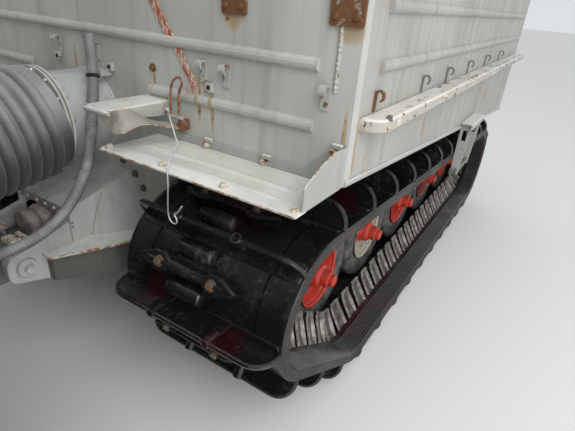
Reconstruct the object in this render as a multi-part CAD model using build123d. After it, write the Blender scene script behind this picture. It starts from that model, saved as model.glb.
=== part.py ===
from build123d import *
import math
import os

# An over-snow and terrain carrier of two tracked cars. The front car has the cab and the engine, the rear
# car is an open load box with bare tilt hoops, and a steered joint with three axes couples them.
# Frame: X forward, Y to the vehicle's left, Z up, origin on the ground below the middle of the whole vehicle.

# Overall sizes
LENGTH = 6170.0
BODY_WIDTH = 1760.0
HEIGHT = 2210.0
SEAT = 0.3                 # clearance of a piece in its seat
GAP = 5.0                  # gap round a door or hatch
HALF = BODY_WIDTH / 2

# Running gear, the same on both sides of both cars. The wheels repeat twenty times, so their rounds
# are drawn with few flat sides.
BELT_T = 30.0
GROUSER_H = 75.0
GROUSER_T = 18.0
GROUSER_END = (60.0, 45.0)  # how far a grouser's corners are cut back, across and down
GROUSERS = 30
GROUSER_PHASE = 0.95       # place of the first grouser, as a share of the pitch
ARC_STEP = 15.0            # degrees between the belt's folds on a wheel
WHEEL_PITCH = 450.0
FIRST_WHEEL = 400.0        # from the sprocket centre back to the first road wheel
ROAD_WHEELS = 4            # the idler behind them is a wheel of the same size
TYRE_R = 215.0
TYRE_W = 100.0
TYRE_SIDES = 24
RIM_R = 115.0
RIM_SIDES = 12
HUB_SIDES = 6
HUB_STEPS = ((46.0, 16.0), (32.0, 63.0))    # radius, and reach from the tyre's face
RIM_LIP = 5.0
SPROCKET_Z = 530.0
SPROCKET_R = 170.0         # inside radius of the belt on the sprocket
SPROCKET_HALF = 120.0
SPROCKET_TEETH = 11
TOOTH_H = 32.0
TOOTH_FORM = ((0.0, 0.0), (0.45, 0.0), (0.7, 1.0))   # shares of the tooth's pitch, and of its height
SPROCKET_INSET = 30.0      # of each toothed rim from the drum's end
SPROCKET_T = 20.0
DRUM_R = 70.0
DRIVE_R = 90.0
AXLE_R = 25.0
BEAM_W = 50.0
BEAM_H = 60.0
BEAM_INSET = 10.0
STAYS = (0.5, 2.0, 3.5)    # places of the beam's stays, in wheel pitches behind the first wheel

# Places of the two cars along X. Each is laid out from its sprocket centre, which lies in the plane of
# the rear car's front wall and just behind the front car's nose.
TOW_REACH = 250.0          # from the nose to the tow eye's tip
HITCH_REACH = 40.0         # from the back wall to the tow hitch's tip
NOSE_AHEAD = 25.0
FRONT_OVERHANG = 295.0     # from the front car's idler to its back wall
CAR_GAP = 780.0            # between the two cars' walls
AXLE_SPAN = FIRST_WHEEL + ROAD_WHEELS * WHEEL_PITCH
NOSE_X = LENGTH / 2 - TOW_REACH
FRONT_X = NOSE_X - NOSE_AHEAD
FRONT_WALL_X = FRONT_X - AXLE_SPAN - FRONT_OVERHANG
REAR_X = FRONT_WALL_X - CAR_GAP
REAR_END_X = HITCH_REACH - LENGTH / 2

# Lower hull between the tracks
HULL_HALF = 330.0
HULL_Z = 330.0
HULL_PLATE = 20.0
HULL_SHORT = 170.0         # the front hull stops short of its back wall, to leave room for the joint
HULL_MOUTH = 50.0          # how far the cut that opens the trough reaches above its shelves
NOSE_CHAMFER = 160.0
HULL_BACK_X = FRONT_WALL_X + HULL_SHORT
TRACK_IN = HULL_HALF + 30.0
TRACK_OUT = HALF
TRACK_MID = (TRACK_IN + TRACK_OUT) / 2
WHEEL_Z = GROUSER_H + BELT_T + TYRE_R + SEAT

# Body panels. The lower edge follows the track's top run, which falls towards the rear.
WALL = 30.0                # thickness of a body wall, skins and frame together
INNER = HALF - WALL
SHEET = 4.0                # pressed sheet of fenders and shelves
SILL_GAP = (63.0, 38.2)    # from the grousers up to the sill, at the sprocket and at the idler
SILL_Z = SPROCKET_Z + SPROCKET_R + BELT_T + GROUSER_H + SILL_GAP[0]
SILL_DROP = SILL_Z - (WHEEL_Z + TYRE_R + SEAT + BELT_T + GROUSER_H + SILL_GAP[1])
BOX_TOP_Z = 1480.0         # top rail of the rear car's load box
WAIST_Z = 1320.0
ROOF_T = 30.0
ROOF_CROWN = 16.0
RAKE = 100.0               # the nose panel leans back by this much above the waist
BEAD_R = 14.0
BEAD_Z = (1120.0, 1240.0)  # pressed ribs of the rear car's sides
BEAD_ENDS = (110.0, 120.0)
WALL_BEADS = ((1120.0, 0.0), (990.0, 280.0))    # height and inner end of the front wall's ribs
WALL_BEAD_END = 90.0

# Rear car
DOOR_HALF = 350.0
DOOR_SILL = 90.0
DOOR_HINGES = (220.0, 130.0)    # above the body's lower edge, and below the top rail
HOOP = 30.0
HOOPS = 5
HOOP_ENDS = (65.0, 55.0)
HOOP_FOOT_Z = 1150.0
HOOP_BEND = 260.0
HOOP_FOLDS = 5             # flat pieces in each of a hoop's bends
BENCH_Z = 1080.0
BENCH_T = 40.0
BENCH_IN = 460.0
BENCH_WEB = (500.0, 530.0)
BENCH_ENDS = (150.0, 200.0)
FENDER_REACH = 200.0
FENDER_IN = 300.0
FENDER_RIBS = (95.0, 150.0)
RIB_HALF = 11.0
RIB_UP = 4.5
BAND_W = 38.0
BAND_T = 4.0
FENDER_FLANGE = 22.0
END_PLATE = ((-23.0, 0.0), (-24.0, 48.0), (-79.0, 78.0), (-143.0, 97.0))    # from the front edge, and up
SHELF_IN = 250.0
SHELF_OUT = 345.0
SHELF_Z = 970.0
SHELF_DROP = 40.0
SHELF_REACH = 200.0
SHELF_NOSE_R = 9.0
RAIL_PROUD = 60.0          # how far the side rub rails stand proud of the body sides
RAIL_Z = 1028.0
RAIL_H = 40.0
RAIL_START = 80.0
STEP_BACK = 1425.0         # from the rear car's front wall to its step
STEP_W = 450.0
STEP_Z = 450.0
STEP_TREAD = (24.0, 30.0)
STRAP = (30.0, 8.0)
STRAP_UP = 60.0
HITCH_HALF = 60.0
HITCH_PAD = 90.0
HITCH_T = (10.0, 14.0)     # below and above the body's lower edge
HITCH_PLATE = (8.0, 60.0)  # the pad's thickness and half height
HITCH_BORE_R = 11.0

# Front car. Doors, hatches, panes and seats are laid out from its nose or its back wall.
PILLAR = 60.0              # half width of the pillar between the windscreens
PANE_SIDE = 140.0
PANE_EDGE = (80.0, 150.0)  # from the waist up, and from the roof down
GLASS = 6.0
PANE_INSET = 12.0
DOOR_X = (NOSE_X - 1035.0, NOSE_X - 275.0)
DOOR_Z = (960.0, HEIGHT - 110.0)
WINDOW_EDGE = 90.0
WINDOW_SILL = 40.0
HINGE_EDGE = 150.0
HATCH_X = (FRONT_WALL_X + 245.0, FRONT_WALL_X + 1045.0)
HATCH_Z = (1080.0, HEIGHT - 430.0)
LOUVRE_EDGE = (90.0, 110.0)
LOUVRE_PITCH = 70.0
LOUVRE_OPEN = 22.0
LOUVRE_DROP = 24.0         # a louvre's slot is lower outside than inside by this much
BULKHEAD_X = FRONT_WALL_X + 1185.0
ENGINE_X = (FRONT_WALL_X + 445.0, FRONT_WALL_X + 1085.0)
ENGINE_HALF = 240.0
ENGINE_TOP_Z = 1080.0
SEAT_X = BULKHEAD_X + 250.0
SEAT_Z = 1180.0
SEAT_MID = 420.0
SEAT_HALF = 230.0
SEAT_DEEP = 450.0
SEAT_T = 120.0
BACKREST = (110.0, 520.0)
SEAT_BOX = (400.0, 10.0, 200.0)    # length, and how far inside and outside of the seat's middle it reaches
DASH = (260.0, 230.0, 20.0)        # depth, and how far below the waist its lower and upper faces lie
WHEEL_BACK = 430.0         # steering wheel from the nose
WHEEL_LOW = 40.0
WHEEL_RIM_R = 190.0
WHEEL_RIM_T = 13.0
COLUMN = (18.0, 260.0)
BOSS = (40.0, 20.0)
SPOKE = (24.0, 10.0)
LAMP_SIDE = 190.0
LAMP_Z = 1060.0
LAMP_R = 90.0
LAMP_REACH = 60.0
FRONT_RAIL_END = 60.0
TOW_Z = 740.0
TOW_HALF = (14.0, 45.0)    # half thickness and half height of the eye
TOW_PAD = 150.0
TOW_BORE_R = 15.0
TOW_BORE_BACK = 40.0

# Joint between the cars: a yaw pin on the front car, a shaft that rolls, and a pitch pin on the drawbar
JOINT_Z = 520.0
YAW_BACK = 260.0
PITCH_BACK = 170.0
ROLL_FACE = 71.0
ROLL_END = 135.0
YAW_X = FRONT_WALL_X - YAW_BACK
PITCH_X = YAW_X - PITCH_BACK
ROLL_FACE_X = YAW_X - ROLL_FACE
ROLL_END_X = YAW_X - ROLL_END
YOKE_R = 65.0
YOKE_HALF_GAP = 65.0       # half the height between the yoke's two plates
YOKE_T = 25.0
YAW_PIN_PROUD = 20.0
LUG_HALF = 90.0            # half width of the collar's lug, between the drawbar's cheeks
LUG_R = 45.0
LUG_BACK = 30.0
CHEEK_GAP = 5.0
CHEEK_T = 25.0
CHEEK_R = 60.0
CHEEK_BOSS = (34.0, 25.0)
DRAWBAR_Z = 742.0
DRAWBAR_TOP = (210.0, 130.0)    # reach and height above the joint of its top plate's front edge
DRAWBAR_PLATE = 10.0
DRAWBAR_WEB = 120.0
LEDGE = ((300.0, 15.0), (140.0, 110.0), (50.0, 160.0))    # its corners: reach, and out from the cheek
LEDGE_Z = (-75.0, 22.0)    # its lower and upper face, from the joint's height
FLARE = (150.0, 90.0, 12.0)     # reach of the side's flare, and how far it stands out, low down and at the top
PIN_R = 20.0
RUNNING = 0.05             # radial clearance of a pin in its bore
LINK_R = 50.0
ROLL_R = 34.0
SLEEVE_R = 72.0
SLEEVE_L = 40.0
ARM_Y = 200.0
ARM_R = 30.0
ARM_T = 28.0
BASE_Y = 190.0
BASE_AHEAD = 45.0
BASE_X = HULL_BACK_X - BASE_AHEAD
BARREL_R = 32.0
BARREL_L = 245.0
BARREL_FOOT = 26.0
BARREL_END = 6.0
ROD_R = 16.0
ROD_IN = 115.0
EYE_GAP = 1.0              # the rod's eye stands this far above the arm's boss
EYE_R = 28.0
CYLINDER_Z = JOINT_Z + 36.0
BASE_PIN_R = 10.0
EAR_R = 22.0
EAR_GAP = 22.0
EAR_OUT = 52.0
BOOT_Z = 578.0
BOOT_R = 50.0
BOOT_X = (130.0, 280.0)

# Heating duct between the cars
DUCT_R = 125.0
DUCT_WALL = 5.0
DUCT_SIDES = 36
FLANGE_R = 145.0
FLANGE_T = 14.0
DUCT_LENGTH = 170.0
REAR_DUCT_Z = 880.0
FRONT_DUCT_Z = 815.0
BELLOWS_R = 160.0
BELLOWS_WALL = 14.0
BELLOWS_CUTS = (0.0, 0.36, 0.66, 1.0)

# Hinges of the doors and hatches
KNUCKLE_R = 10.0
KNUCKLE_L = 50.0
LEAF = 40.0
LEAF_T = 4.0
HINGE_PIN_R = 4.0
HINGE_SIDES = 12

# The hose's route, ahead of the rear car's front wall in X, chosen by hand from its tie on the wall.
# It is cut into three legs, halfway between one leg's last point and the next leg's first.
HOSE_R = 15.0
HOSE_SIDES = 8
GLAND_L = 20.0
GLAND_R = 26.0
CLIP_Z = 1008.0
CLIP_HALF = (12.0, 8.0)
HOSE_END = CAR_GAP - GLAND_L
HOSE_LEGS = (
    [(50, 98, 1113), (50, 100, 1010), (90, 140, 940), (125, 170, 870), (180, 200, 765), (270, 220, 683),
     (350, 210, 640)],
    [(420, 185, 622), (500, 170, 618)],
    [(590, 175, 640), (675, 205, 715), (HOSE_END, 205, 715)],
)


def block(x, y, z):
    """A box between the two values of each pair."""
    return Pos((x[0] + x[1]) / 2, (y[0] + y[1]) / 2, (z[0] + z[1]) / 2) * Box(
        x[1] - x[0], y[1] - y[0], z[1] - z[0]
    )


def side_plate(points, y):
    """An outline in X and Z, carried from y[0] to y[1]."""
    face = make_face(Polyline(*[(px, y[0], pz) for px, pz in points], close=True))
    return extrude(face, amount=y[1] - y[0], dir=(0, 1, 0))


def cross_plate(points, x):
    """An outline in Y and Z, carried from x[0] to x[1]."""
    face = make_face(Polyline(*[(x[0], py, pz) for py, pz in points], close=True))
    return extrude(face, amount=x[1] - x[0], dir=(1, 0, 0))


def level_plate(points, z):
    """An outline in X and Y, carried from z[0] to z[1]."""
    face = make_face(Polyline(*[(px, py, z[0]) for px, py in points], close=True))
    return extrude(face, amount=z[1] - z[0], dir=(0, 0, 1))


def round_bar(start, end, radius):
    """A cylinder from one point to another."""
    way = Vector(*end) - Vector(*start)
    return extrude(Plane(origin=start, z_dir=way) * Circle(radius), amount=way.length)


def flat_bar(start, end, radius, sides):
    """A bar from one point to another, with flat sides whose corners lie on a circle."""
    way = Vector(*end) - Vector(*start)
    return extrude(Plane(origin=start, z_dir=way) * RegularPolygon(radius, sides), amount=way.length)


def other_side(shape):
    return mirror(shape, about=Plane.XZ)


def both(shape):
    return [shape, other_side(shape)]


def write(name, solids):
    """One STEP file per node. Like pieces of a node are separate solids."""
    found = []
    for item in solids if isinstance(solids, list) else [solids]:
        found.extend(item.solids())
    for solid in found:
        solid.label = name
    whole = found[0] if len(found) == 1 else Compound(children=found, label=name)
    export_step(whole, f"parts/{name}.step")


def sill(x, car_x):
    """Height of a body side's lower edge."""
    return SILL_Z - SILL_DROP / AXLE_SPAN * max(car_x - x, 0)


# Running gear

def belt_arcs(grow):
    """The belt round the sprocket, the idler and the first wheel, with the sprocket at X zero: for each
    its centre, radius, and the angles of the outward normal where the belt meets and leaves it."""
    discs = [(0.0, SPROCKET_Z, SPROCKET_R + grow)]
    discs += [(-back, WHEEL_Z, TYRE_R + SEAT + grow) for back in (AXLE_SPAN, FIRST_WHEEL)]
    leave = []
    for (x, z, radius), (next_x, next_z, next_radius) in zip(discs, discs[1:] + discs[:1]):
        span = math.hypot(next_x - x, next_z - z)
        leave.append(math.atan2(next_z - z, next_x - x) - math.acos((radius - next_radius) / span))
    arcs = []
    for number, disc in enumerate(discs):
        meet, end = leave[number - 1], leave[number]
        arcs.append((*disc, meet, end if end > meet else end + 2 * math.pi))
    return arcs


def belt_line(grow):
    """Corners of the belt's loop: each arc's flat sides touch its circle."""
    corners = []
    for x, z, radius, meet, leave in belt_arcs(grow):
        folds = math.ceil(math.degrees(leave - meet) / ARC_STEP)
        half = (leave - meet) / folds / 2
        for fold in range(folds):
            angle = meet + (2 * fold + 1) * half
            reach = radius / math.cos(half)
            corners.append((x + reach * math.cos(angle), z + reach * math.sin(angle)))
    return corners


def place_on_belt(way):
    """Point and outward angle at a distance along the belt's outer face, from where it meets the sprocket."""
    arcs = belt_arcs(BELT_T)
    for number, (x, z, radius, meet, leave) in enumerate(arcs):
        if way <= radius * (leave - meet):
            angle = meet + way / radius
            return x + radius * math.cos(angle), z + radius * math.sin(angle), angle
        way -= radius * (leave - meet)
        next_x, next_z, next_radius = arcs[(number + 1) % len(arcs)][:3]
        straight = math.sqrt((next_x - x) ** 2 + (next_z - z) ** 2 - (next_radius - radius) ** 2)
        if way <= straight:
            return (x + radius * math.cos(leave) - way * math.sin(leave),
                    z + radius * math.sin(leave) + way * math.cos(leave), leave)
        way -= straight
    return place_on_belt(way)


def belt_length():
    """Length of the belt's outer face."""
    arcs = belt_arcs(BELT_T)
    total = 0.0
    for number, (x, z, radius, meet, leave) in enumerate(arcs):
        next_x, next_z, next_radius = arcs[(number + 1) % len(arcs)][:3]
        total += radius * (leave - meet)
        total += math.sqrt((next_x - x) ** 2 + (next_z - z) ** 2 - (next_radius - radius) ** 2)
    return total


def grouser():
    """A steel blade across the belt, its top corners cut back, standing on Z zero at X zero."""
    across, down = GROUSER_END
    root = -BELT_T / 2
    outline = [(TRACK_IN, root), (TRACK_OUT, root), (TRACK_OUT, GROUSER_H - down),
               (TRACK_OUT - across, GROUSER_H), (TRACK_IN + across, GROUSER_H), (TRACK_IN, GROUSER_H - down)]
    return cross_plate(outline, (-GROUSER_T / 2, GROUSER_T / 2))


def track():
    """The rubber belt with its grousers, laid out with the sprocket at X zero."""
    belt = side_plate(belt_line(BELT_T), (TRACK_IN, TRACK_OUT)) - side_plate(belt_line(0.0), (TRACK_IN, TRACK_OUT))
    blade = grouser()
    pitch = belt_length() / GROUSERS
    blades = []
    for number in range(GROUSERS):
        x, z, angle = place_on_belt((number + GROUSER_PHASE) * pitch)
        blades.append(Pos(x, 0, z) * Rot(0, 90 - math.degrees(angle), 0) * blade)
    return belt.fuse(*blades)


def wheel_places(car_x):
    """Centre in X of each road wheel and of the idler."""
    return [car_x - FIRST_WHEEL - number * WHEEL_PITCH for number in range(ROAD_WHEELS + 1)]


def tyre(x):
    inner = TRACK_MID - TYRE_W / 2
    return flat_bar((x, inner, WHEEL_Z), (x, inner + TYRE_W, WHEEL_Z), TYRE_R, TYRE_SIDES)


def hub(x):
    """The rim's lip on the tyre's outer face, and the hub in steps before it."""
    face = TRACK_MID + TYRE_W / 2
    solid = flat_bar((x, face, WHEEL_Z), (x, face + RIM_LIP, WHEEL_Z), RIM_R, RIM_SIDES)
    for radius, reach in HUB_STEPS:
        solid += flat_bar((x, face, WHEEL_Z), (x, face + reach, WHEEL_Z), radius, HUB_SIDES)
    return solid


def sprocket(car_x):
    """Two toothed rims on a drum, at the front of a track and above its wheels."""
    low, high = TRACK_MID - SPROCKET_HALF, TRACK_MID + SPROCKET_HALF
    drum = flat_bar((car_x, low, SPROCKET_Z), (car_x, high, SPROCKET_Z), DRUM_R, RIM_SIDES)
    tooth = 2 * math.pi / SPROCKET_TEETH
    outline = []
    for number in range(SPROCKET_TEETH):
        for share, rise in TOOTH_FORM:
            angle = (number + share) * tooth
            radius = SPROCKET_R - SEAT - TOOTH_H * (1 - rise)
            outline.append((car_x + radius * math.cos(angle), SPROCKET_Z + radius * math.sin(angle)))
    for rim_y in (low + SPROCKET_INSET, high - SPROCKET_INSET - SPROCKET_T):
        drum += side_plate(outline, (rim_y, rim_y + SPROCKET_T))
    return drum


def track_frame(car_x):
    """A beam inside the track with a stub axle for each wheel, and stays to the hull."""
    inner = TRACK_IN + BEAM_INSET
    beam = block((car_x - AXLE_SPAN - BEAM_H, car_x - FIRST_WHEEL / 2), (inner, inner + BEAM_W),
                 (WHEEL_Z - BEAM_H / 2, WHEEL_Z + BEAM_H / 2))
    for x in wheel_places(car_x):
        beam += flat_bar((x, inner, WHEEL_Z), (x, TRACK_MID - TYRE_W / 2, WHEEL_Z), AXLE_R, HUB_SIDES)
    for pitches in STAYS:
        x = car_x - FIRST_WHEEL - pitches * WHEEL_PITCH
        beam += block((x - BEAM_W, x + BEAM_W), (HULL_HALF, inner + BEAM_W / 2),
                      (HULL_Z + BEAM_INSET, WHEEL_Z + BEAM_H / 2))
    return beam


def final_drive(car_x):
    """The drive's round housing, from the hull to the sprocket's drum."""
    end = TRACK_MID - SPROCKET_HALF
    return flat_bar((car_x, HULL_HALF, SPROCKET_Z), (car_x, end, SPROCKET_Z), DRIVE_R, RIM_SIDES)


# Body

def fender(car_x, wall_x):
    """The ribbed tray over the front of a track, with a band along its front edge and a plate at its end."""
    front = car_x + FENDER_REACH
    top = [(wall_x, SILL_Z)]
    for middle in FENDER_RIBS:
        place = car_x + middle
        top += [(place - RIB_HALF, SILL_Z), (place, SILL_Z + RIB_UP), (place + RIB_HALF, SILL_Z)]
    band = [(front - BAND_W, SILL_Z), (front - BAND_W, SILL_Z + BAND_T), (front, SILL_Z + BAND_T)]
    tray = side_plate([*top, *band, (front, SILL_Z - SHEET), (wall_x, SILL_Z - SHEET)], (FENDER_IN, HALF))
    flange = block((wall_x, wall_x + SHEET), (FENDER_IN, HALF), (SILL_Z - SHEET, SILL_Z + FENDER_FLANGE))
    outline = [(wall_x, SILL_Z - SHEET), *((front + x, SILL_Z + z) for x, z in END_PLATE),
               (wall_x, SILL_Z + END_PLATE[-1][1])]
    return tray + flange + side_plate(outline, (HALF - SHEET, HALF))


def shelf():
    """A folded tray that stands out from the rear car's front wall, with a rolled nose."""
    end = REAR_X + SHELF_REACH - SHELF_NOSE_R
    solid = block((REAR_X, end), (SHELF_IN, SHELF_OUT), (SHELF_Z - SHEET, SHELF_Z))
    for y in (SHELF_IN, SHELF_OUT - SHEET):
        edge = [(REAR_X, SHELF_Z), (REAR_X, SHELF_Z - SHELF_DROP), (end, SHELF_Z - SHELF_DROP / 2), (end, SHELF_Z)]
        solid += side_plate(edge, (y, y + SHEET))
    nose_z = SHELF_Z - SHELF_NOSE_R
    return solid + flat_bar((end, SHELF_IN, nose_z), (end, SHELF_OUT, nose_z), SHELF_NOSE_R, HUB_SIDES)


def hull(car_x, front_x, back_x, shelf_back_x, chamfer=0.0):
    """The open-topped trough between the tracks, with a shelf over each track that carries the body."""
    t = HULL_PLATE
    solids = []
    for inset, rise in ((0.0, 0.0), (t, HULL_MOUTH)):
        low, front, back = HULL_Z + inset, front_x - inset, back_x + inset
        foot = [(front, low + chamfer), (front - chamfer * 0.8, low)] if chamfer else [(front, low)]
        points = [(front, sill(front_x, car_x) + rise), *foot, (back, low), (back, sill(back_x, car_x) + rise)]
        solids.append(side_plate(points, (inset - HULL_HALF, HULL_HALF - inset)))
    top_front, top_back = sill(front_x, car_x), sill(shelf_back_x, car_x)
    edge = [(front_x, top_front), (shelf_back_x, top_back), (shelf_back_x, top_back - t), (front_x, top_front - t)]
    ledge = side_plate(edge, (HULL_HALF - t, INNER))
    return solids[0] - solids[1] + ledge + other_side(ledge)


def rail(front_x, back_x):
    """The rub rail along a body side, with its rounded front end."""
    strip = block((back_x, front_x), (HALF, HALF + RAIL_PROUD), (RAIL_Z - RAIL_H, RAIL_Z))
    corner = strip.edges().filter_by(Axis.Z).group_by(Axis.X)[-1].group_by(Axis.Y)[-1]
    return fillet(corner, RAIL_PROUD * 0.8)


def bead(start, end):
    """A pressed rib, half sunk in its panel."""
    return flat_bar(start, end, BEAD_R, HINGE_SIDES)


def side_outline(back_x, front_x, car_x, top_z):
    """A body side with its sloping lower edge."""
    return [(front_x, sill(front_x, car_x)), (front_x, top_z), (back_x, top_z), (back_x, sill(back_x, car_x))]


def step(x, car_x):
    """Two straps and a tread, hung from the lower edge of a body side."""
    top = sill(x, car_x) + STRAP_UP
    out, up = STEP_TREAD
    width, thick = STRAP
    solid = block((x - STEP_W / 2, x + STEP_W / 2), (HALF, HALF + out), (STEP_Z, STEP_Z + up))
    for strap_x in (x - STEP_W / 2, x + STEP_W / 2 - width):
        solid += block((strap_x, strap_x + width), (HALF, HALF + thick), (STEP_Z, top))
    return solid


def bow_line(half, top, bend):
    """One face of a hoop in Y and Z, from one foot over the top to the other, its bends in flat folds."""
    turns = [math.pi / 2 * fold / HOOP_FOLDS for fold in range(HOOP_FOLDS + 1)]
    corner = [(half - bend + bend * math.cos(turn), top - bend + bend * math.sin(turn)) for turn in turns]
    side = [(half, HOOP_FOOT_Z), *corner]
    return side + [(-y, z) for y, z in reversed(side)]


def hinge(plane):
    """The moving and the fixed half of a hinge. The plane's Z is the axis, and the moving leaf lies
    towards -X. The bore's flat sides lie outside the circle that the pin's corners turn on."""
    bore_r = (HINGE_PIN_R + RUNNING) / math.cos(math.pi / HINGE_SIDES)
    halves = []
    for side, low in ((-1, SEAT / 2), (1, -KNUCKLE_L - SEAT / 2)):
        across = (-LEAF, 0) if side < 0 else (0, LEAF)
        leaf = block(across, (-KNUCKLE_R, LEAF_T - KNUCKLE_R), (low, low + KNUCKLE_L))
        knuckle = extrude(Plane.XY.offset(low) * RegularPolygon(KNUCKLE_R, HINGE_SIDES), amount=KNUCKLE_L)
        halves.append(leaf + knuckle)
    span = 2 * KNUCKLE_L
    halves[0] -= extrude(Plane.XY.offset(-span) * RegularPolygon(bore_r, HINGE_SIDES), amount=2 * span)
    halves[1] += extrude(Plane.XY.offset(-KNUCKLE_L) * RegularPolygon(HINGE_PIN_R, HINGE_SIDES), amount=span)
    return plane * halves[0], plane * halves[1]


def duct(wall_x, z, direction):
    """The stub on a body wall, with the bolted flange that the bellows is clamped to."""
    end = wall_x + direction * DUCT_LENGTH
    solid = tube((wall_x, 0, z), (end, 0, z), DUCT_R, DUCT_WALL)
    return solid + tube((end, 0, z), (end - direction * FLANGE_T, 0, z), FLANGE_R, FLANGE_R - DUCT_R + DUCT_WALL)


def tube(start, end, radius, wall):
    """A tube of the duct or the bellows, or a closed bar where the wall is as thick as the radius."""
    way = Vector(*end) - Vector(*start)
    ring = RegularPolygon(radius, DUCT_SIDES)
    if wall < radius:
        ring -= RegularPolygon(radius - wall, DUCT_SIDES)
    return extrude(Plane(origin=start, x_dir=(0, 1, 0), z_dir=way) * ring, amount=way.length)


# Joint between the cars

def yoke():
    """Two plates behind the front hull, with the yaw pin through their rounded ends."""
    solid = None
    for low in (JOINT_Z - YOKE_HALF_GAP - YOKE_T, JOINT_Z + YOKE_HALF_GAP):
        plate = block((YAW_X, HULL_BACK_X), (-YOKE_R, YOKE_R), (low, low + YOKE_T))
        plate += Pos(YAW_X, 0, low + YOKE_T / 2) * Cylinder(YOKE_R, YOKE_T)
        solid = plate if solid is None else solid + plate
    reach = YOKE_HALF_GAP + YOKE_T + YAW_PIN_PROUD
    solid += round_bar((YAW_X, 0, JOINT_Z - reach), (YAW_X, 0, JOINT_Z + reach), PIN_R)
    for side in (-1, 1):
        pin = round_bar((BASE_X, 0, CYLINDER_Z - EAR_OUT), (BASE_X, 0, CYLINDER_Z + EAR_OUT), BASE_PIN_R)
        ears = [block((BASE_X - EAR_R, HULL_BACK_X), (-EAR_R, EAR_R), z) for z in
                ((CYLINDER_Z - EAR_OUT, CYLINDER_Z - EAR_GAP), (CYLINDER_Z + EAR_GAP, CYLINDER_Z + EAR_OUT))]
        solid += Pos(0, side * BASE_Y, 0) * (ears[0] + ears[1] + pin)
    return solid


def steering_link():
    """The barrel on the yaw pin, its two arms, and the shaft that the collar rolls on."""
    body = Pos(YAW_X, 0, JOINT_Z) * Cylinder(LINK_R, 2 * (YOKE_HALF_GAP - 1))
    body += block((YAW_X - ARM_R, YAW_X + ARM_R), (-ARM_Y, ARM_Y), (JOINT_Z - ARM_T / 2, JOINT_Z + ARM_T / 2))
    for side in (-1, 1):
        body += Pos(YAW_X, side * ARM_Y, JOINT_Z) * Cylinder(ARM_R, ARM_T)
    body += round_bar((YAW_X, 0, JOINT_Z), (ROLL_END_X, 0, JOINT_Z), ROLL_R)
    reach = YOKE_HALF_GAP + YOKE_T
    return body - round_bar((YAW_X, 0, JOINT_Z - reach), (YAW_X, 0, JOINT_Z + reach), PIN_R + RUNNING)


def roll_collar():
    """The sleeve on the link's shaft, and the lug that takes the pitch pin."""
    lug = block((PITCH_X, ROLL_FACE_X - LUG_BACK), (-LUG_HALF, LUG_HALF), (JOINT_Z - LUG_R, JOINT_Z + LUG_R))
    lug += round_bar((PITCH_X, -LUG_HALF, JOINT_Z), (PITCH_X, LUG_HALF, JOINT_Z), LUG_R)
    sleeve = round_bar((ROLL_FACE_X, 0, JOINT_Z), (ROLL_FACE_X - SLEEVE_L, 0, JOINT_Z), SLEEVE_R)
    collar = lug + sleeve
    collar -= round_bar((ROLL_FACE_X + GAP, 0, JOINT_Z), (ROLL_END_X - GAP, 0, JOINT_Z), ROLL_R + RUNNING)
    return collar - round_bar((PITCH_X, -HALF, JOINT_Z), (PITCH_X, HALF, JOINT_Z), PIN_R + RUNNING)


def drawbar():
    """Two cheeks from the rear hull to the pitch pin, under a sloping top plate. Towards the hull each
    one flares out above a box section that widens into a ledge."""
    inner = LUG_HALF + CHEEK_GAP
    outer = inner + CHEEK_T
    reach, up = DRAWBAR_TOP
    low = DRAWBAR_Z - DRAWBAR_PLATE
    outline = [(PITCH_X, JOINT_Z + CHEEK_R), (PITCH_X, JOINT_Z - CHEEK_R),
               (REAR_X, HULL_Z + 2 * HULL_PLATE), (REAR_X, low)]
    cheek = side_plate(outline, (inner, outer))
    cheek += round_bar((PITCH_X, inner, JOINT_Z), (PITCH_X, outer, JOINT_Z), CHEEK_R)
    boss_r, proud = CHEEK_BOSS
    cheek += round_bar((PITCH_X, outer, JOINT_Z), (PITCH_X, outer + proud, JOINT_Z), boss_r)
    end, end_z = REAR_X + reach, JOINT_Z + up
    cheek += side_plate([(REAR_X, DRAWBAR_Z), (REAR_X, JOINT_Z), (end, JOINT_Z), (end, end_z)], (inner, outer))
    face = JOINT_Z + LEDGE_Z[1]
    corners = [(REAR_X + x, outer + out) for x, out in LEDGE]
    shape = [(REAR_X, inner), (corners[0][0], inner), *corners, (REAR_X, corners[-1][1])]
    cheek += level_plate(shape, (JOINT_Z + LEDGE_Z[0], face))
    flare_x, flare_low, flare_high = FLARE
    flare = level_plate([(REAR_X, inner), (REAR_X + flare_x, outer), (REAR_X, outer + flare_low)], (JOINT_Z, DRAWBAR_Z))
    lean = [(inner, JOINT_Z), (outer + flare_low, face), (outer + flare_high, low), (inner, low)]
    flare &= cross_plate(lean, (REAR_X, REAR_X + flare_x))
    cheek += flare & side_plate([(REAR_X, low), (REAR_X, JOINT_Z), (end, JOINT_Z), (end, end_z)], (0, HULL_HALF))
    top = side_plate([(REAR_X, DRAWBAR_Z), (end, end_z), (end, end_z - DRAWBAR_PLATE), (REAR_X, low)], (-outer, outer))
    web = block((REAR_X + DRAWBAR_WEB, REAR_X + DRAWBAR_WEB + DRAWBAR_PLATE), (-inner, inner),
                (HULL_Z + 5 * HULL_PLATE, end_z))
    frame = cheek + other_side(cheek) + web + top
    return frame + round_bar((PITCH_X, -inner - GAP, JOINT_Z), (PITCH_X, inner + GAP, JOINT_Z), PIN_R)


def way_of_cylinder(side):
    """Base pin, rod's eye and unit direction of a steering cylinder at rest."""
    base = Vector(BASE_X, side * BASE_Y, CYLINDER_Z)
    eye = Vector(YAW_X, side * ARM_Y, CYLINDER_Z)
    return base, eye, (eye - base).normalized()


def bar_along(origin, way, start, end, radius):
    """A cylinder between two distances along a direction."""
    return extrude(Plane(origin=origin + way * start, z_dir=way) * Circle(radius), amount=end - start)


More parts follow.
